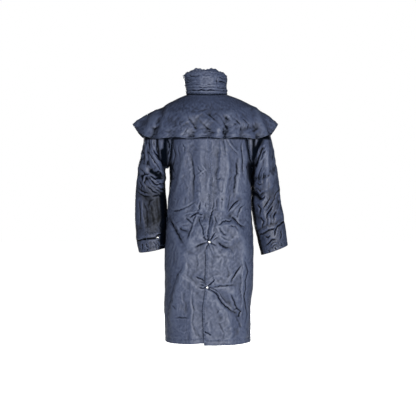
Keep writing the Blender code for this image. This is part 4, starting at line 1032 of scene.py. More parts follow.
RIGHT_SLEEVE_CREASES = (
    # the head of the sleeve
    Crease(3.8, 4, -7.75, 0, ((282, -180), (251, -209), (224, -233))),
    Crease(6, 5, 6, 0, ((272, -211), (251, -264), (227, -319))),
    Crease(3.8, 3.8, -6.75, 0, ((274, -252), (258, -285), (243, -320))),
    Crease(3.8, 3.8, -6, 0, ((242, -192), (231, -254), (224, -335))),
    Crease(6, 12, 5, 0, ((282, -197), (282, -278), (285, -350), (279, -421), (271, -483))),
    Crease(4, 4, -3.5, 0, ((260, -324), (241, -378), (234, -426))),
    Crease(3.8, 4, 3, 0, ((269, -335), (258, -378), (255, -435))),
    Crease(6, 6, -2.5, 0, ((304, -216), (310, -292), (309, -378))),
    # the elbow
    Crease(3.8, 4, -7.75, 0, ((227, -459), (245, -488), (260, -487), (279, -471))),
    Crease(5, 4, 4.25, 0, ((223, -435), (248, -461), (274, -447))),
    Crease(4, 4, -1.75, 0, ((224, -407), (244, -421), (272, -410))),
    Crease(8, 5, 6, 0, ((306, -478), (284, -517), (256, -547))),
    Crease(4, 4, -6, 0, ((312, -517), (291, -550), (274, -584))),
    Crease(4, 4, -2, 0, ((349, -431), (320, -472), (306, -512))),
    Crease(4, 4, 3.5, 0, ((337, -450), (347, -502), (337, -550))),
    Crease(3.8, 3.8, -3.5, 0, ((237, -507), (251, -536), (244, -574))),
    Crease(6, 5, 4.25, 0, ((283, -555), (293, -588), (289, -624))),
    Crease(4, 4, -3.5, 0, ((250, -569), (265, -598), (258, -636))),
    Crease(4, 4, -3.5, 0, ((331, -541), (313, -574), (317, -607))),
    # the crease above the cuff, and the cuff
    Crease(12, 3.8, 6, 1,
           ((260, -648), (276, -637), (288, -629), (312, -624), (332, -622), (349, -610),
            (375, -588))),
    Crease(3.8, 3.8, -6, 0, ((324, -626), (345, -612), (372, -591))),
    Crease(3.8, 3.8, -5, 1, ((329, -624), (321, -643), (316, -670))),
    Crease(3.8, 4, -5, 0, ((276, -714), (287, -703), (306, -683), (336, -679))),
    Crease(3.8, 3.8, 3.5, 0, ((298, -717), (315, -701), (339, -698))),
    Crease(3.8, 3.8, -3.5, 0, ((351, -631), (353, -658), (345, -689))),
    Crease(3.8, 3.8, -3.5, 0, ((270, -668), (287, -672), (299, -658))),
    Crease(2.5, 2.5, -2.5, 0, ((289, -727), (293, -746))),
    Crease(2.5, 2.5, -2.5, 0, ((320, -715), (327, -734))),
    Crease(2.5, 2.5, -2.5, 0, ((352, -696), (357, -717))),
)

# Seen from the front, in the same way.
LEFT_SLEEVE_FRONT_CREASES = (
    Crease(5, 6, -4.5, 0, ((222, -150), (236, -210), (238, -262))),
    Crease(6, 6, 3.25, 0, ((252, -180), (262, -236), (258, -290))),
    Crease(5, 7, -4.5, 0, ((212, -300), (252, -316), (300, -300))),
    Crease(7, 6, 3.75, 0, ((216, -336), (256, -346), (306, -334))),
    Crease(5, 6, -3.75, 0, ((210, -372), (262, -384), (318, -366))),
    Crease(6, 6, -3.75, 0, ((230, -400), (276, -420), (330, -416))),
    Crease(6, 7, 3.25, 0, ((214, -440), (262, -448), (300, -470))),
    Crease(6, 6, -3.25, 0, ((300, -470), (306, -540), (300, -610))),
    Crease(6, 6, -3.25, 0, ((246, -480), (240, -550), (250, -620))),
    Crease(26, 5, 4.5, 0, ((206, -664), (246, -656), (290, -668), (336, -676))),
)

RIGHT_SLEEVE_FRONT_CREASES = (
    Crease(6, 5, -4.5, 0, ((-224, -156), (-240, -214), (-236, -270))),
    Crease(6, 6, 3.25, 0, ((-256, -184), (-264, -240), (-262, -296))),
    Crease(7, 5, -4.5, 0, ((-216, -310), (-256, -300), (-302, -318))),
    Crease(6, 7, 3.75, 0, ((-220, -350), (-262, -340), (-312, -350))),
    Crease(6, 5, -3.75, 0, ((-216, -392), (-268, -380), (-322, -396))),
    Crease(6, 6, -3.25, 0, ((-236, -424), (-286, -430), (-334, -416))),
    Crease(6, 6, 3.25, 0, ((-236, -470), (-246, -540), (-252, -610))),
    Crease(6, 6, -3.25, 0, ((-310, -470), (-322, -550), (-326, -620))),
    Crease(26, 5, 3.75, 0, ((-378, -648), (-330, -652), (-286, -670), (-244, -684))),
)


def sleeve_form(side, rows, rolls):
    """A sleeve as a function of the distance down it and the angle round it. It starts on
    the armhole's own loop and eases into its round sections."""
    phase = np.linspace(0, math.pi, 121)
    levels = (UNDERARM + SHOULDER) / 2 + (UNDERARM - SHOULDER) / 2 * np.cos(phase)
    loop_level = np.concatenate([levels, levels[-2::-1]])
    loop_turn = [armhole_turn(levels, True), armhole_turn(levels, False)[-2::-1]]
    loop = body_form(loop_level, side * np.concatenate(loop_turn))
    knots = np.linspace(0, 2 * math.pi, len(loop))
    round_it = SLEEVE_RADIUS * math.pi / 180
    drawn = [
        Fold(r.turn0 * round_it, r.down0, r.turn1 * round_it, r.down1, r.width, r.height)
        for r in rolls
    ]

    def place(down, phase):
        down, phase = np.broadcast_arrays(down, phase)
        phase = np.mod(phase, 2 * math.pi)
        inner_x, inner_z = between(rows, "inner_x", down), between(rows, "inner_z", down)
        outer_x, outer_z = between(rows, "outer_x", down), between(rows, "outer_z", down)
        half = np.hypot(outer_x - inner_x, outer_z - inner_z) / 2
        pushed = folded(drawn, np.degrees(phase) * round_it, down)
        grow = 1 + pushed * ramp(down, 0.0, 0.06 + 0.06 * (1 + np.cos(phase))) / half
        outwards, backwards = -np.cos(phase) * grow, np.sin(phase) * grow
        middle_x, middle_z = (inner_x + outer_x) / 2, (inner_z + outer_z) / 2
        ring = np.stack(
            [
                side * (middle_x + (outer_x - inner_x) / 2 * outwards),
                between(rows, "middle_y", down) + between(rows, "reach", down) * backwards,
                middle_z + (outer_z - inner_z) / 2 * outwards,
            ],
            axis=-1,
        )
        seam = np.stack([np.interp(phase, knots, loop[:, k]) for k in range(3)], axis=-1)
        blend = ramp(down, 0.0, 0.09)[..., None]
        # the underarm starts downwards, the rest of the head outwards
        under = np.clip(np.cos(phase), 0, 1) ** 2
        away = np.stack([side * down * (1 - under), 0 * down, -0.7 * down * under], axis=-1)
        return (seam + away) * (1 - blend) + ring * blend

    return place


# Where the cloth folds in deep behind the arm, from 0 to 1; there shade is painted on as well.
LEFT_POCKETS = (
    Fold(-0.270, -0.358, -0.226, -0.384, 0.011, 1.0),
    Fold(-0.1985, -0.205, -0.1985, -0.340, 0.015, 1.0),
    Fold(-0.2150, -0.262, -0.2120, -0.322, 0.010, 1.0),
    Fold(-0.237, -0.205, -0.229, -0.300, 0.0060, 0.9),
    Fold(-0.3057, -0.6780, -0.2530, -0.6745, 0.0048, 1.0),
    Fold(-0.2440, -0.6650, -0.2078, -0.6410, 0.0045, 1.0),
)

RIGHT_POCKETS = (
    Fold(0.268, -0.192, 0.222, -0.262, 0.0085, 1.0),
    Fold(0.256, -0.250, 0.226, -0.330, 0.0060, 1.0),
    Fold(0.242, -0.205, 0.214, -0.300, 0.0070, 0.9),
    Fold(0.214, -0.215, 0.213, -0.440, 0.009, 1.0),
    Fold(0.222, -0.462, 0.244, -0.482, 0.008, 1.0),
    Fold(0.330, -0.622, 0.376, -0.590, 0.0040, 0.9),
)


def sleeve(name, node_name, side, rows, rolls, back_creases, front_creases, pockets, shade):
    """Makes one sleeve and returns its points, for the tab that lies on its cuff. shade is how
    dark its forearm's inner half is."""
    form = sleeve_form(side, rows, rolls)
    draft_rows, draft_columns = 75, 60
    down = np.linspace(0, SLEEVE_LENGTH, draft_rows + 1)[:, None]
    phase = np.linspace(0, 2 * math.pi, draft_columns + 1)[None, :-1]
    worn = form(down, phase)
    centre = worn.mean(axis=1, keepdims=True)
    # cut 1.5 % longer than the arm and 0.6 % wider
    longer = np.diff(centre, axis=0, prepend=centre[:1]) * 1.015
    cut = centre[:1] + np.cumsum(longer, axis=0) + (worn - centre) * 1.006
    at_cuff = ramp(down, 0.55, SLEEVE_LENGTH)
    hold = 0.09 + 0.91 * ramp(down, 0.045, 0.0) + 0.30 * at_cuff + 0 * phase
    moves = settled(name + "_draft", worn, cut, hold, True)
    head, rest = np.linspace(0, 0.03, 9)[:-1], np.linspace(0.03, SLEEVE_LENGTH, 172)
    down = np.concatenate([head, rest])[:, None]
    phase = np.linspace(0, 2 * math.pi, SLEEVE_COLUMNS + 1)[None, :-1]
    points = form(down, phase)
    x, z = points[..., 0], points[..., 2]
    behind = np.sin(phase) + 0 * down
    fade = ramp(np.abs(behind), 0.0, 0.42) * ramp(down, 0.0, 0.03)
    height = np.where(
        behind > 0, creased(back_creases, -x, z), creased(front_creases, x, z)
    )
    # the seam along the inner line sinks a little, once it is clear of the body
    to_seam = np.minimum(phase, 2 * math.pi - phase) * SLEEVE_RADIUS
    height = height * fade - 0.0015 * np.exp(-((to_seam / 0.004) ** 2)) * ramp(down, 0.20, 0.26)
    # the armhole's seam sinks too, but its edge stays on the body's
    height = height - 0.0018 * np.exp(-((down / 0.005) ** 2)) * ramp(down, 0.0, 0.003)
    # facets all round, deepest where the elbow crumples the sleeve, lower on the right arm
    elbow, depth = (0.19, 0.78) if side > 0 else (0.30, 0.50)
    at_elbow = 0.22 + depth * np.exp(-(((down - elbow) / 0.11) ** 2))
    run, fall = phase * SLEEVE_RADIUS + 0 * down, down + 0 * phase
    facets = crumpled(run, fall, 0.026, 0.034, 0.0024, 5 + side) * at_elbow
    facets = facets + crumpled(run, fall, 0.013, 0.017, 0.0008, 8 + side) * at_elbow
    height = height + facets * ramp(down, 0.0, 0.04) * ramp(to_seam, 0.0, 0.015)
    deep = np.clip(folded(pockets, -x, z), 0, 1) * (behind > 0)
    height = height - 0.006 * deep * ramp(down, 0.0, 0.05)
    points = points + outward(points, True) * height[..., None]
    free = ramp(down, 0.0, 0.03)[..., None]
    upper = 1 - ramp(down, 0.25, 0.34)
    free = free * (0.25 + 0.40 * upper)[..., None]
    row, column = down / SLEEVE_LENGTH * draft_rows, phase / math.pi * draft_columns / 2
    points = points + read_smoothly(moves, row, column, True) * free
    # its rim lies just outside the body's edge
    points[0, :, 0] += side * 0.0003
    # the cuff's edge hangs lowest behind the arm's outer side
    lower = np.clip(np.cos(phase - 2.3), 0, 1) * ramp(down, 0.565, SLEEVE_LENGTH)
    points[..., 2] -= (0.0085 if side > 0 else 0.0030) * lower
    # painted shade: its inner line is darkened where it lies against the body, its rim at the
    # armhole too, its head where the cape covers it, and its deep pockets
    lower_down, edge = (0.040, 0.030) if side > 0 else (0.002, 0.018)
    shaded_reach = 0.050 + lower_down * ramp(down, 0.26, 0.34)
    painted_shade = ramp(to_seam, shaded_reach, shaded_reach - edge)
    painted_shade = np.maximum(painted_shade, 0.9 * ramp(down, 0.020, 0.002))
    under_cape = ramp(points[..., 2], -0.214, -0.204) * ramp(points[..., 1], 0.01, 0.05)
    painted_shade = np.maximum(np.maximum(painted_shade, under_cape), deep)
    # a forearm's inner half may be turned away from the light
    turned = shade * ramp(np.cos(phase), -0.75, 0.05) * ramp(behind, 0.0, 0.5)
    turned = turned * ramp(down, 0.22, 0.38) * ramp(down, 0.56, 0.46)
    painted_shade = np.maximum(painted_shade, turned)
    # painted shade: its colour is set darker down the forearm, and its broad hollows are painted in
    # shade, most on the left arm's upper half
    made = cloth_piece(
        name, points, [node_name],
        (("first_row", 0.006), ("last_row", 0.018), ("first_column", 0.005)),
        wraps=True, tone=0.34 + 0.12 * upper, painted_shade=painted_shade,
        pockets=0.05 + (0.30 if side > 0 else 0.08) * upper,
    )
    return points


left_points = sleeve(
    "sleeve_left_cloth", "sleeve_left", 1, LEFT_SLEEVE, LEFT_ROLLS,
    LEFT_SLEEVE_CREASES, LEFT_SLEEVE_FRONT_CREASES, LEFT_POCKETS, 0.55,
)
right_points = sleeve(
    "sleeve_right_cloth", "sleeve_right", -1, RIGHT_SLEEVE, RIGHT_ROLLS,
    RIGHT_SLEEVE_CREASES, RIGHT_SLEEVE_FRONT_CREASES, RIGHT_POCKETS, 0.0,
)

# The cuff tabs ---------------------------------------------------------------------------
# A strip of the same nylon laps over each cuff, sewn down at one end and closed with a snap.
# It lies on the sleeve, so it takes the sleeve's own points moved out.


def cuff_tab(name, node_name, points, first_degree, last_degree, pockets):
    """The tab over the last rows of a sleeve, between two places round it."""
    first, last = (round(d / 360 * SLEEVE_COLUMNS) for d in (first_degree, last_degree))
    covered = (slice(-28, None), slice(first, last + 1))
    lifted = points[covered] + outward(points, True)[covered] * 0.0026
    # painted shade where the sleeve's deep pockets run under the tab; its colour is also set darker
    # than the sleeve's
    deep = np.clip(folded(pockets, -lifted[..., 0], lifted[..., 2]), 0, 1)
    made = cloth_piece(
        name, lifted, [node_name],
        (("first_row", 0.005), ("first_column", 0.005), ("last_column", 0.005),
         ("last_row", 0.018)),
        tone=0.26, painted_shade=deep,
    )
    return made


tab_left = cuff_tab(
    "cuff_tab_left_cloth", "cuff_tab_left", left_points, 54, 108,
    LEFT_POCKETS,
)
tab_right = cuff_tab(
    "cuff_tab_right_cloth", "cuff_tab_right", right_points, 252, 306, (),
)

# The cape --------------------------------------------------------------------------------
# A second layer of nylon over the shoulders, cut as one curved piece, open at the front and
# sewn in with the collar. It stands off the arms, and its hem is turned up and stitched.

CAPE_OPENING = 1.87
CAPE_HEM, CAPE_DEPTH = 1.62, 0.26

CAPE_RINGS = (
    Ring(0.00, 0.0100, 0.0016, -0.0620, 0.0970, 0.0905, 0.0895, 2.1, 2, 0.006),
    Ring(0.15, -0.006, -0.026, -0.088, 0.139, 0.110, 0.106, 2.1, 2, 0.002),
    Ring(0.35, -0.033, -0.070, -0.122, 0.195, 0.136, 0.126, 2.1, 2, 0.000),
    Ring(0.55, -0.061, -0.113, -0.155, 0.246, 0.152, 0.141, 2.2, 3, 0.001),
    Ring(0.75, -0.090, -0.157, -0.185, 0.298, 0.162, 0.152, 2.2, 5, 0.005),
    Ring(1.00, -0.127, -0.207, -0.216, 0.349, 0.170, 0.160, 2.2, 9, 0.012),
)

CAPE_BACK_FOLDS = (
    # the two creases where the cape turns off the back and over the arms
    Fold(0.216, -0.060, 0.262, -0.215, 0.016, -0.006),
    Fold(0.250, -0.075, 0.292, -0.200, 0.016, 0.005),
    Fold(-0.224, -0.052, -0.272, -0.200, 0.013, 0.006),
    Fold(-0.205, -0.075, -0.235, -0.205, 0.016, -0.004),
    # the shoulder blades show through, with a hollow between them
    Fold(0.105, -0.095, 0.125, -0.205, 0.030, 0.007),
    Fold(0.050, -0.120, 0.075, -0.210, 0.022, -0.004),
    Fold(-0.005, -0.060, 0.010, -0.210, 0.030, -0.005),
    Fold(-0.060, -0.100, -0.045, -0.210, 0.024, 0.005),
    Fold(-0.105, -0.095, -0.120, -0.200, 0.022, 0.006),
    Fold(-0.085, -0.120, -0.080, -0.210, 0.014, -0.004),
    Fold(-0.160, -0.165, -0.225, -0.150, 0.016, -0.004),
)

CAPE_FRONT_FOLDS = (
    Fold(0.215, -0.090, 0.255, -0.240, 0.018, -0.005),
    Fold(0.120, -0.130, 0.140, -0.250, 0.030, 0.006),
    Fold(-0.120, -0.130, -0.140, -0.250, 0.030, 0.006),
    Fold(-0.215, -0.090, -0.255, -0.240, 0.018, -0.005),
)

CAPE_CREASES = (
    # the folds where the cape turns over the arms
    Crease(14, 10, -3.75, 0, ((-216, -89), (-231, -124), (-248, -161), (-267, -216))),
    Crease(8, 8, 1.5, 0, ((-182, -52), (-199, -114), (-218, -161), (-229, -216))),
    Crease(5, 20, 3.75, 0, ((217, -56), (250, -133), (284, -207))),
    Crease(6, 5, -1.25, 0, ((234, -54), (266, -119), (299, -179))),
    # soft peaks over the shoulder blades
    Crease(5, 20, 2.25, 0, ((-109, -84), (-94, -124), (-67, -163), (-35, -202))),
    Crease(14, 7, 1.5, 0, ((-107, -87), (-127, -124), (-155, -165), (-176, -207))),
    Crease(6, 9, -1.75, 0, ((-53, -114), (-19, -149), (14, -177), (37, -200))),
    Crease(5, 12, 1.75, 0, ((-42, -82), (7, -112), (46, -154), (73, -202))),
    Crease(6, 5, -1.75, 0, ((30, -84), (64, -122), (86, -156), (99, -193))),
    Crease(6, 8, 1.5, 0, ((83, -77), (106, -124), (130, -163), (153, -198))),
    Crease(5, 5, -1.25, 0, ((-5, -91), (25, -119), (42, -142))),
    # small crinkles
    Crease(3, 3, -1.75, 0, ((145, -121), (169, -123), (188, -142), (179, -176))),
    Crease(3, 3, -1.5, 0, ((110, -112), (134, -128), (151, -151), (147, -183))),
    Crease(3, 3, 1.5, 0, ((153, -112), (169, -137), (164, -165))),
    Crease(4, 6, -1.25, 0, ((173, -188), (204, -173), (241, -156))),
    Crease(3, 3, -1.25, 0, ((-91, -156), (-106, -179), (-118, -207))),
    Crease(3, 3, 1.25, 0, ((-79, -151), (-93, -176), (-100, -207))),
    Crease(3, 3, -1.25, 0, ((-137, -133), (-123, -156), (-125, -184))),
    Crease(3, 4, -1.25, 0, ((63, -151), (71, -174), (67, -202))),
    Crease(4, 4, -1, 0, ((252, -87), (278, -125), (289, -161))),
    Crease(5, 5, -1, 0, ((-88, -49), (-56, -71), (-23, -74))),
    Crease(5, 5, 1, 0, ((23, -40), (60, -63), (106, -68))),
    Crease(4, 4, -1, 0, ((144, -63), (176, -88), (193, -119))),
)

CAPE_FRONT_CREASES = (
    Crease(6, 12, 2.75, 0, ((206, -80), (236, -150), (262, -226))),
    Crease(12, 6, 2.75, 0, ((-206, -80), (-236, -150), (-262, -226))),
    Crease(5, 9, -2.75, 0, ((120, -110), (136, -160), (142, -222))),
    Crease(9, 5, -2.75, 0, ((-124, -112), (-138, -162), (-148, -222))),
    Crease(4, 4, 2.25, 0, ((84, -120), (92, -170), (88, -220))),
    Crease(4, 4, -2.25, 0, ((-78, -116), (-90, -166), (-84, -220))),
    Crease(3, 3, -1.75, 0, ((40, -130), (58, -160), (60, -210))),
    Crease(3, 3, -1.75, 0, ((-44, -128), (-56, -168), (-50, -212))),
    Crease(4, 5, -2.25, 0, ((170, -120), (186, -160), (188, -214))),
    Crease(4, 5, 2.25, 0, ((-176, -118), (-190, -162), (-196, -214))),
)


def cape_form(at, turn):
    """The worn form of the cape, from the neck seam at 0 to its hem at 1."""

    def raised(x, z, at_back):
        return np.where(at_back, folded(CAPE_BACK_FOLDS, x, z), folded(CAPE_FRONT_FOLDS, x, z))

    return ring_point(CAPE_RINGS, at, turn, raised)


def evenly(form, half_turn, columns):
    """Turns that lie evenly along the far edge of a band of cloth."""
    fine = np.linspace(-half_turn, half_turn, 600)
    run = np.cumsum(np.linalg.norm(np.diff(form(1.0, fine), axis=0), axis=1))
    run = np.concatenate([[0.0], run])
    return np.interp(np.linspace(0, run[-1], columns), run, fine)


draft_rows, draft_columns = 30, 200
at = np.linspace(0, 1, draft_rows)[:, None]
turn = evenly(cape_form, CAPE_OPENING, draft_columns)[None, :]
worn = cape_form(at, turn)
cut = worn * 1.009
# it is held round the neck and on the shoulders, and a little along its hem
hold = 0.08 + 0.92 * ramp(at, 0.42, 0.20) + 0.20 * ramp(at, 0.90, 1.0) + 0 * turn
cape_moves = settled("cape_draft", worn, cut, hold, False)

rows, columns = 74, 500
at, share = np.linspace(0, 1, rows)[:, None], np.linspace(0, 1, columns)[None, :]
turn = evenly(cape_form, CAPE_OPENING, columns)[None, :] + 0 * at
points = cape_form(at, turn)
x, z = points[..., 0], points[..., 2]
fade = ramp(np.abs(np.cos(turn * math.pi / 2)), 0.0, 0.30) * ramp(at, 0.02, 0.20)
height = np.where(
    np.abs(turn) <= 1, creased(CAPE_CREASES, -x, z), creased(CAPE_FRONT_CREASES, x, z)
)
# its hem hangs in shallow waves
run, fall = share * CAPE_HEM + 0 * at, at * CAPE_DEPTH + 0 * share
waves = 0.0030 * np.sin(run * 2 * math.pi / 0.083 + 1.2 * np.sin(run * 9)) * ramp(at, 0.62, 1.0)
facets = crumpled(run, fall, 0.050, 0.050, 0.0016, 11)
facets = facets + crumpled(run, fall, 0.015, 0.015, 0.0004, 12)
quiet = 0.4 + 0.6 * ramp(np.cos(turn * math.pi / 2), 0.45, 0.70)
height = height * fade + facets * quiet * ramp(at, 0.06, 0.5)
points = points + outward(points) * (height + waves)[..., None]
row, column = at * (draft_rows - 1), share * (draft_columns - 1)
points = points + read_smoothly(cape_moves, row, column, False)
# behind, its edge also rises and falls
points[..., 2] -= 0.0040 * np.sin(x * 41 - 1.9) * ramp(at, 0.75, 1.0) * (np.abs(turn) <= 1)
# painted shadow: its neck edge is darkened under the collar, and its colour is set a little darker
# as painted shade on its sloping top
cape = cloth_piece(
    "cape_cloth", points, ["cape"],
    (("last_row", 0.007), ("first_column", 0.007), ("last_column", 0.007),
     ("first_row", 0.004)),
    tone=0.46, painted_shade=0.9 * ramp(at, 0.040, 0.015),
)

# The collar ------------------------------------------------------------------------------
# A stand of two layers of nylon, open at the front. The rolled hood between them pushes its
# outer layer into ridges, and its inner one stands close to the neck.

COLLAR_OPENING = 1.965

COLLAR_OUTER_RINGS = (
    Ring(0.00, 0.0090, 0.0002, -0.0630, 0.0958, 0.0896, 0.0886, 2.1, 2, 0.006),
    Ring(0.12, 0.022, 0.014, -0.051, 0.0985, 0.0940, 0.0910, 2.1, 2, 0.007),
    Ring(0.45, 0.050, 0.048, -0.022, 0.0985, 0.0955, 0.0920, 2.1, 2, 0.0095),
    Ring(0.75, 0.078, 0.083, 0.006, 0.1020, 0.0970, 0.0925, 2.1, 2, 0.0105),
    Ring(1.00, 0.101, 0.111, 0.028, 0.1065, 0.0950, 0.0905, 2.1, 2, 0.0155),
)

COLLAR_INNER_RINGS = (
    Ring(0.00, 0.0090, 0.0002, -0.0630, 0.0925, 0.0865, 0.0855, 2.1, 2, 0.006),
    Ring(0.20, 0.028, 0.022, -0.044, 0.0770, 0.0715, 0.0700, 2.1, 2, 0.008),
    Ring(1.00, 0.095, 0.103, 0.022, 0.0765, 0.0705, 0.0690, 2.1, 2, 0.015),
)

COLLAR_FOLDS = (
    # ridges that the rolled hood pushes out, one above another
    Fold(-0.100, 0.014, 0.100, 0.018, 0.0042, 0.0022),
    Fold(-0.100, 0.031, 0.070, 0.030, 0.0044, 0.0026),
    Fold(-0.070, 0.047, 0.100, 0.045, 0.0048, 0.0020),
    Fold(0.060, 0.064, 0.110, 0.058, 0.0050, 0.0026),
    Fold(-0.110, 0.060, -0.040, 0.066, 0.0060, -0.0020),
    Fold(0.095, 0.082, 0.045, 0.090, 0.0060, -0.0022),
)

COLLAR_CREASES = (
    Crease(2.2, 3.2, -2.5, 0, ((-84, 52), (-37, 47), (5, 49), (42, 46))),
    Crease(2.2, 2.2, -2.25, 0, ((-49, 38), (-25, 32), (0, 35))),
    Crease(2.2, 2.2, -2.5, 0, ((33, 35), (59, 33), (94, 38))),
    Crease(2.6, 3, -3.5, 0, ((-103, 26), (-52, 20), (9, 22), (66, 20))),
    Crease(2.6, 2.6, 1.75, 0, ((-103, 38), (-84, 33), (-56, 30))),
    Crease(2.4, 2.4, -3, 0, ((-110, 85), (-91, 73), (-63, 72))),
    Crease(2.4, 2.4, -2.5, 0, ((-108, 62), (-84, 66), (-66, 54))),
    Crease(2.4, 2.4, 2.5, 0, ((-112, 74), (-91, 83), (-54, 81))),
    Crease(2.4, 2.4, -2.5, 0, ((-96, 103), (-78, 89), (-50, 91))),
    Crease(2.4, 3, -2.5, 0, ((47, 88), (67, 80), (91, 84))),
    Crease(2.4, 3, -2.5, 0, ((45, 63), (67, 67), (91, 59))),
    Crease(3, 3, 2, 0, ((52, 73), (70, 74), (89, 71))),
    Crease(3, 3, -1.25, 0, ((43, 102), (40, 69), (45, 22))),
    Crease(3, 5, 2, 0, ((-37, 88), (-9, 83), (23, 88))),
    Crease(2.4, 2.4, -2.75, 0, ((-112, 29), (-94, 19), (-75, 14))),
    Crease(2.4, 2.4, -2.25, 0, ((61, 13), (75, 25), (91, 27))),
)

COLLAR_FRONT_CREASES = (
    Crease(2, 3, -3, 0, ((-96, -10), (-60, -22), (-20, -40))),
    Crease(2, 3, -3, 0, ((96, 6), (62, -6), (24, -26))),
    Crease(3, 3, 2, 0, ((-90, 14), (-50, 0), (-16, -12))),
    Crease(3, 3, 2, 0, ((88, 26), (54, 10), (20, -4))),
    Crease(2, 3, -3, 0, ((-98, 34), (-64, 26), (-34, 12))),
)


def collar_layer(name, node_name, rings, relief, columns, rows, puffed):
    """One layer of the collar. puffed is how much longer it is cut, for the hood to crumple."""

    def form(at, turn):
        return ring_point(rings, at, turn, relief)

    draft_rows, draft_columns = 26, 112
    at = np.linspace(0, 1, draft_rows)[:, None]
    turn = evenly(form, COLLAR_OPENING, draft_columns)[None, :]
    worn = form(at, turn)
    base = worn[:1]
    cut = base + (worn - base) * (1.0, 1.0, 1.0 + puffed)
    cut[..., :2] *= 1 + puffed / 2
    hold = 0.10 + 0.90 * ramp(at, 0.14, 0.0) + 0.25 * ramp(at, 0.86, 1.0) + 0 * turn
    moves = settled(name + "_draft", worn, cut, hold, False, 0.2)
    at, share = np.linspace(0, 1, rows)[:, None], np.linspace(0, 1, columns)[None, :]
    turn = evenly(form, COLLAR_OPENING, columns)[None, :] + 0 * at
    points = form(at, turn)
    # only the outer layer shows its creases
    if puffed > 0.02:
        x, z = points[..., 0], points[..., 2]
        fade = ramp(np.abs(np.cos(turn * math.pi / 2)), 0.0, 0.25)
        height = np.where(
            np.abs(turn) <= 1, creased(COLLAR_CREASES, -x, z), creased(COLLAR_FRONT_CREASES, x, z)
        )
        points = points + outward(points) * (height * fade)[..., None]
    row, column = at * (draft_rows - 1), share * (draft_columns - 1)
    points = points + 0.55 * read_smoothly(moves, row, column, False)
    # painted shadow: each layer is darkened along its lowest rows, by the neck seam
    return cloth_piece(
        name, points, [node_name],
        (("last_row", 0.006), ("first_row", 0.004), ("first_column", 0.006),
         ("last_column", 0.006)),
        painted_shade=ramp(at, 0.085, 0.030),
    )


def collar_relief(x, z, at_back):
    return np.where(at_back, folded(COLLAR_FOLDS, x, z), 0.0)


collar_outer = collar_layer(
    "collar_outer_cloth", "collar_outer", COLLAR_OUTER_RINGS, collar_relief, 260, 58, 0.05
)
collar_inner = collar_layer(
    "collar_inner_cloth", "collar_inner", COLLAR_INNER_RINGS, None, 180, 34, 0.015
)

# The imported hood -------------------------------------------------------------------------
# The hood of the same nylon, rolled up and tucked between the collar's two layers. Its rolled
# edge shows above them, gathered into small puckers.

HOOD_RINGS = (
    Ring(0.00, 0.032, 0.026, -0.040, 0.0870, 0.0825, 0.0805, 2.1, 2, 0.008),
    Ring(0.50, 0.070, 0.072, -0.003, 0.0880, 0.0835, 0.0805, 2.1, 2, 0.0110),
    Ring(1.00, 0.109, 0.124, 0.036, 0.0915, 0.0825, 0.0795, 2.1, 4, 0.0155),
)

turn = np.linspace(-COLLAR_OPENING + 0.03, COLLAR_OPENING - 0.03, 420)[:, None]
angle = np.linspace(0, 2 * math.pi, 49)[None, :-1]
# its section is a flattened oval, pushed out in six soft layers and puckered at the top
thick = 0.0085 * np.sign(np.sin(angle)) * np.abs(np.sin(angle)) ** 0.5
up = 0.5 - 0.5 * np.cos(angle) + 0 * turn
up = up + 0.035 * np.sin(turn * 11 - 1.5) * ramp(up, 0.5, 0.8)
middle = ring_point(HOOD_RINGS, up, turn + 0 * up)
away = middle - np.stack([between(HOOD_RINGS, "shift", up), 0 * up, middle[..., 2]], axis=-1)
away /= np.linalg.norm(away, axis=-1, keepdims=True)
puckers = 0.0012 * np.sin(turn * 64 + 2.0 * np.sin(turn * 9)) * ramp(up, 0.55, 0.9)
layers = 0.0013 * np.cos(angle * 6 + 1.4 * np.sin(turn * 5))
points = middle + away * (thick + np.sign(thick) * (layers + puckers))[..., None]
points[..., 2] += 0.0016 * np.sin(turn * 41 + 1.7 * np.sin(turn * 7)) * ramp(up, 0.7, 1.0)
rows, columns = points.shape[:2]
grid, faces = quads(rows, columns, True)
a, b, c = (points.reshape(-1, 3)[faces[:, k]] for k in range(3))
from_middle = a - middle.mean(axis=1)[faces[:, 0] // columns]
roll_out = np.sum(np.cross(b - a, c - a) * from_middle) > 0
faces = (faces if roll_out else faces[:, ::-1]).tolist()
ends = [grid[0, :-1].tolist(), grid[-1, -2::-1].tolist()]
faces += ends if not roll_out else [end[::-1] for end in ends]
mesh = bpy.data.meshes.new("packed_hood_cloth")
mesh.from_pydata(points.reshape(-1, 3).tolist(), [], faces)
mesh.shade_smooth()
along = np.linspace(0, 0.60, rows)[:, None] + 0 * up
round_it = np.linspace(0, 0.2, columns)[None, :] + 0 * up
flat_places = np.stack([along, round_it], axis=-1).reshape(-1, 2)
corner = np.array([v for face in faces for v in face])
mesh.uv_layers.new(name="cloth").data.foreach_set(
    "uv", flat_places[corner].astype(np.float32).ravel()
)
for label, value in (("seam", 1.0), ("tone", 0.42)):
    every = np.full(rows * columns, value, np.float32)
    mesh.attributes.new(label, "FLOAT", "POINT").data.foreach_set("value", every)
mesh.materials.append(coated_nylon)
packed_hood = bpy.data.objects.new("packed_hood_cloth", mesh)
bpy.context.scene.collection.objects.link(packed_hood)
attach(packed_hood, "root")
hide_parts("packed_hood")

# The snap fasteners ----------------------------------------------------------------------
# Press studs of nickel-plated brass: a cap is pressed from sheet with a rolled rim and a
# dimpled middle, and clinched through the cloth. Two close the vent, six close the front, and
# one closes each cuff.

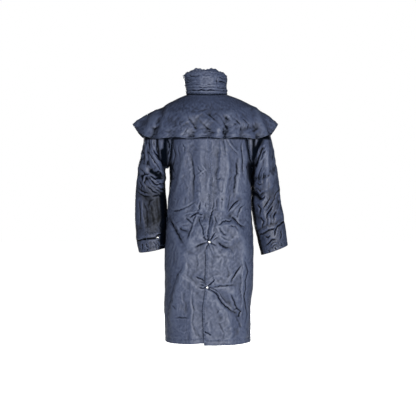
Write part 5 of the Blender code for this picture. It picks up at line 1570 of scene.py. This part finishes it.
nickel = bpy.data.materials.new("nickel_plated_brass")
nickel.use_nodes = True
place = add_node(nickel, "TexCoord").outputs["Object"]
wear = add_node(nickel, "TexNoise", Vector=place, Scale=900.0, Detail=2.0).outputs["Fac"]
plate = nickel.node_tree.nodes["Principled BSDF"]
tint = add_node(nickel, "MixRGB", Fac=wear, Color1=linear("#e9e8e3"), Color2=linear("#cfcdc6"))
nickel.node_tree.links.new(tint.outputs[0], plate.inputs["Base Color"])
dull = add_node(nickel, "MapRange", Value=wear, To_Min=0.16, To_Max=0.34)
nickel.node_tree.links.new(dull.outputs[0], plate.inputs["Roughness"])
plate.inputs["Metallic"].default_value = 1.0

bpy.ops.object.select_all(action="DESELECT")
bpy.ops.mesh.primitive_cylinder_add(
    vertices=32, radius=0.0060, depth=0.0014, location=(0, 0, 0.0007)
)
pattern_cap = bpy.context.object
bpy.ops.object.mode_set(mode="EDIT")
bpy.ops.mesh.select_mode(type="FACE")


def select_top():
    """Selects the face in the middle of the cap's top."""
    bpy.ops.object.mode_set(mode="OBJECT")
    for face in pattern_cap.data.polygons:
        face.select = face.normal.z > 0.9 and face.center.xy.length < 0.0005
    bpy.ops.object.mode_set(mode="EDIT")


# from the rim up over the shoulder, down into the dimple and up to its middle
STEPS = (
    (0.0006, 0.0009), (0.0009, 0.0006), (0.0010, -0.0007), (0.0015, -0.0003), (0.0007, 0.0003),
)
for inset, rise in STEPS:
    select_top()
    bpy.ops.mesh.inset(thickness=inset, depth=0)
    bpy.ops.transform.translate(value=(0, 0, rise))
bpy.ops.object.mode_set(mode="OBJECT")
bpy.ops.object.shade_smooth_by_angle(angle=math.radians(50))
pattern_cap.data.materials.append(nickel)


def snap(node_name, carrier):
    """Presses a cap into the cloth where the model has its snap."""
    low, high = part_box(node_name)
    centre = (low + high) / 2
    tree = BVHTree.FromObject(carrier, bpy.context.evaluated_depsgraph_get())
    inwards = Vector((0, -1 if centre.y > 0 else 1, 0))
    start = centre - inwards * 0.05
    # it takes the lie of the cloth under its middle and its rim
    hits, rim = [], 0.005
    for dx, dz in ((0, 0), (rim, 0), (-rim, 0), (0, rim), (0, -rim)):
        hit, normal, _, _ = tree.ray_cast(start + Vector((dx, 0, dz)), inwards)
        if hit is not None:
            hits.append((hit, normal))
    facing = sum((n for _, n in hits), Vector()).normalized()
    if facing.dot(inwards) > 0:
        facing = -facing
    top = max((h - centre).dot(facing) for h, _ in hits)
    middle = hits[0][0] + facing * (top - (hits[0][0] - centre).dot(facing)) * 0.6
    made = bpy.data.objects.new(node_name + "_cap", pattern_cap.data.copy())
    bpy.context.scene.collection.objects.link(made)
    turned = Vector((0, 0, 1)).rotation_difference(facing).to_matrix().to_4x4()
    made.data.transform(Matrix.Translation(middle) @ turned)
    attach(made, "root")
    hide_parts(node_name)


for k in (1, 2):
    snap(f"vent_snap_{k}", back_right)
for k in range(1, 7):
    snap(f"front_snap_{k}", front_left)
snap("cuff_snap_left", tab_left)
snap("cuff_snap_right", tab_right)
bpy.data.objects.remove(pattern_cap)

# The studio ------------------------------------------------------------------------------
# A plain pale floor below the worn height of the hem, a large soft light beside the camera, and
# weaker ones at the sides and in front.


def soft_light(name, place, size, power):
    """A soft lamp, turned to the coat's middle."""
    lamp = bpy.data.objects.new(name, bpy.data.lights.new(name, "AREA"))
    lamp.data.shape = "DISK"
    lamp.data.size = size
    lamp.data.energy = power
    lamp.location = place
    towards = Vector((0, 0, -0.55)) - Vector(place)
    lamp.rotation_euler = towards.to_track_quat("-Z", "Y").to_euler()
    bpy.context.scene.collection.objects.link(lamp)
    return lamp


key = soft_light("key_light", (-0.9, 4.2, -0.5), 4.5, 330)
key.data.shape = "RECTANGLE"
key.data.size_y = 2.2
soft_light("left_light", (3.6, 1.2, 0.2), 1.4, 8)
soft_light("right_light", (-3.6, 1.2, 0.2), 1.4, 12)
soft_light("front_light", (0.7, -4.3, 0.2), 2.0, 200)

# the lamps light the coat, and the pale room round it adds little
world = bpy.data.worlds.new("studio")
bpy.context.scene.world = world
world.use_nodes = True
room = world.node_tree.nodes["Background"]
room.inputs["Color"].default_value = (1.0, 1.0, 1.0, 1.0)
room.inputs["Strength"].default_value = 0.07
paper = world.node_tree.nodes.new("ShaderNodeBackground")
paper.inputs["Color"].default_value = (1.0, 1.0, 1.0, 1.0)
seen = world.node_tree.nodes.new("ShaderNodeLightPath")
either = world.node_tree.nodes.new("ShaderNodeMixShader")
output = world.node_tree.nodes["World Output"]
world.node_tree.links.new(seen.outputs["Is Camera Ray"], either.inputs[0])
world.node_tree.links.new(room.outputs[0], either.inputs[1])
world.node_tree.links.new(paper.outputs[0], either.inputs[2])
world.node_tree.links.new(either.outputs[0], output.inputs["Surface"])

bpy.ops.object.select_all(action="DESELECT")
bpy.ops.mesh.primitive_plane_add(size=40, location=(0, 0, -1.52))
floor = bpy.context.object
floor.name = "studio_floor"
pale = bpy.data.materials.new("pale_floor")
pale.use_nodes = True
shader = pale.node_tree.nodes["Principled BSDF"]
shader.inputs["Base Color"].default_value = (0.80, 0.80, 0.80, 1.0)
shader.inputs["Roughness"].default_value = 0.8
# white paper, lit evenly as far as the eye can see
bright = pale.node_tree.nodes.new("ShaderNodeLightPath")
shader.inputs["Emission Color"].default_value = (1.0, 1.0, 1.0, 1.0)
pale.node_tree.links.new(bright.outputs["Is Camera Ray"], shader.inputs["Emission Strength"])
floor.data.materials.append(pale)

camera = bpy.data.objects.new("camera", bpy.data.cameras.new("camera"))
bpy.context.scene.collection.objects.link(camera)
camera.location = (0, 4.0, -0.531)
camera.rotation_euler = (math.radians(90), 0, math.radians(180))
camera.data.sensor_width = 36
camera.data.lens = 72.1
bpy.context.scene.camera = camera
bpy.context.scene.view_settings.view_transform = "Standard"
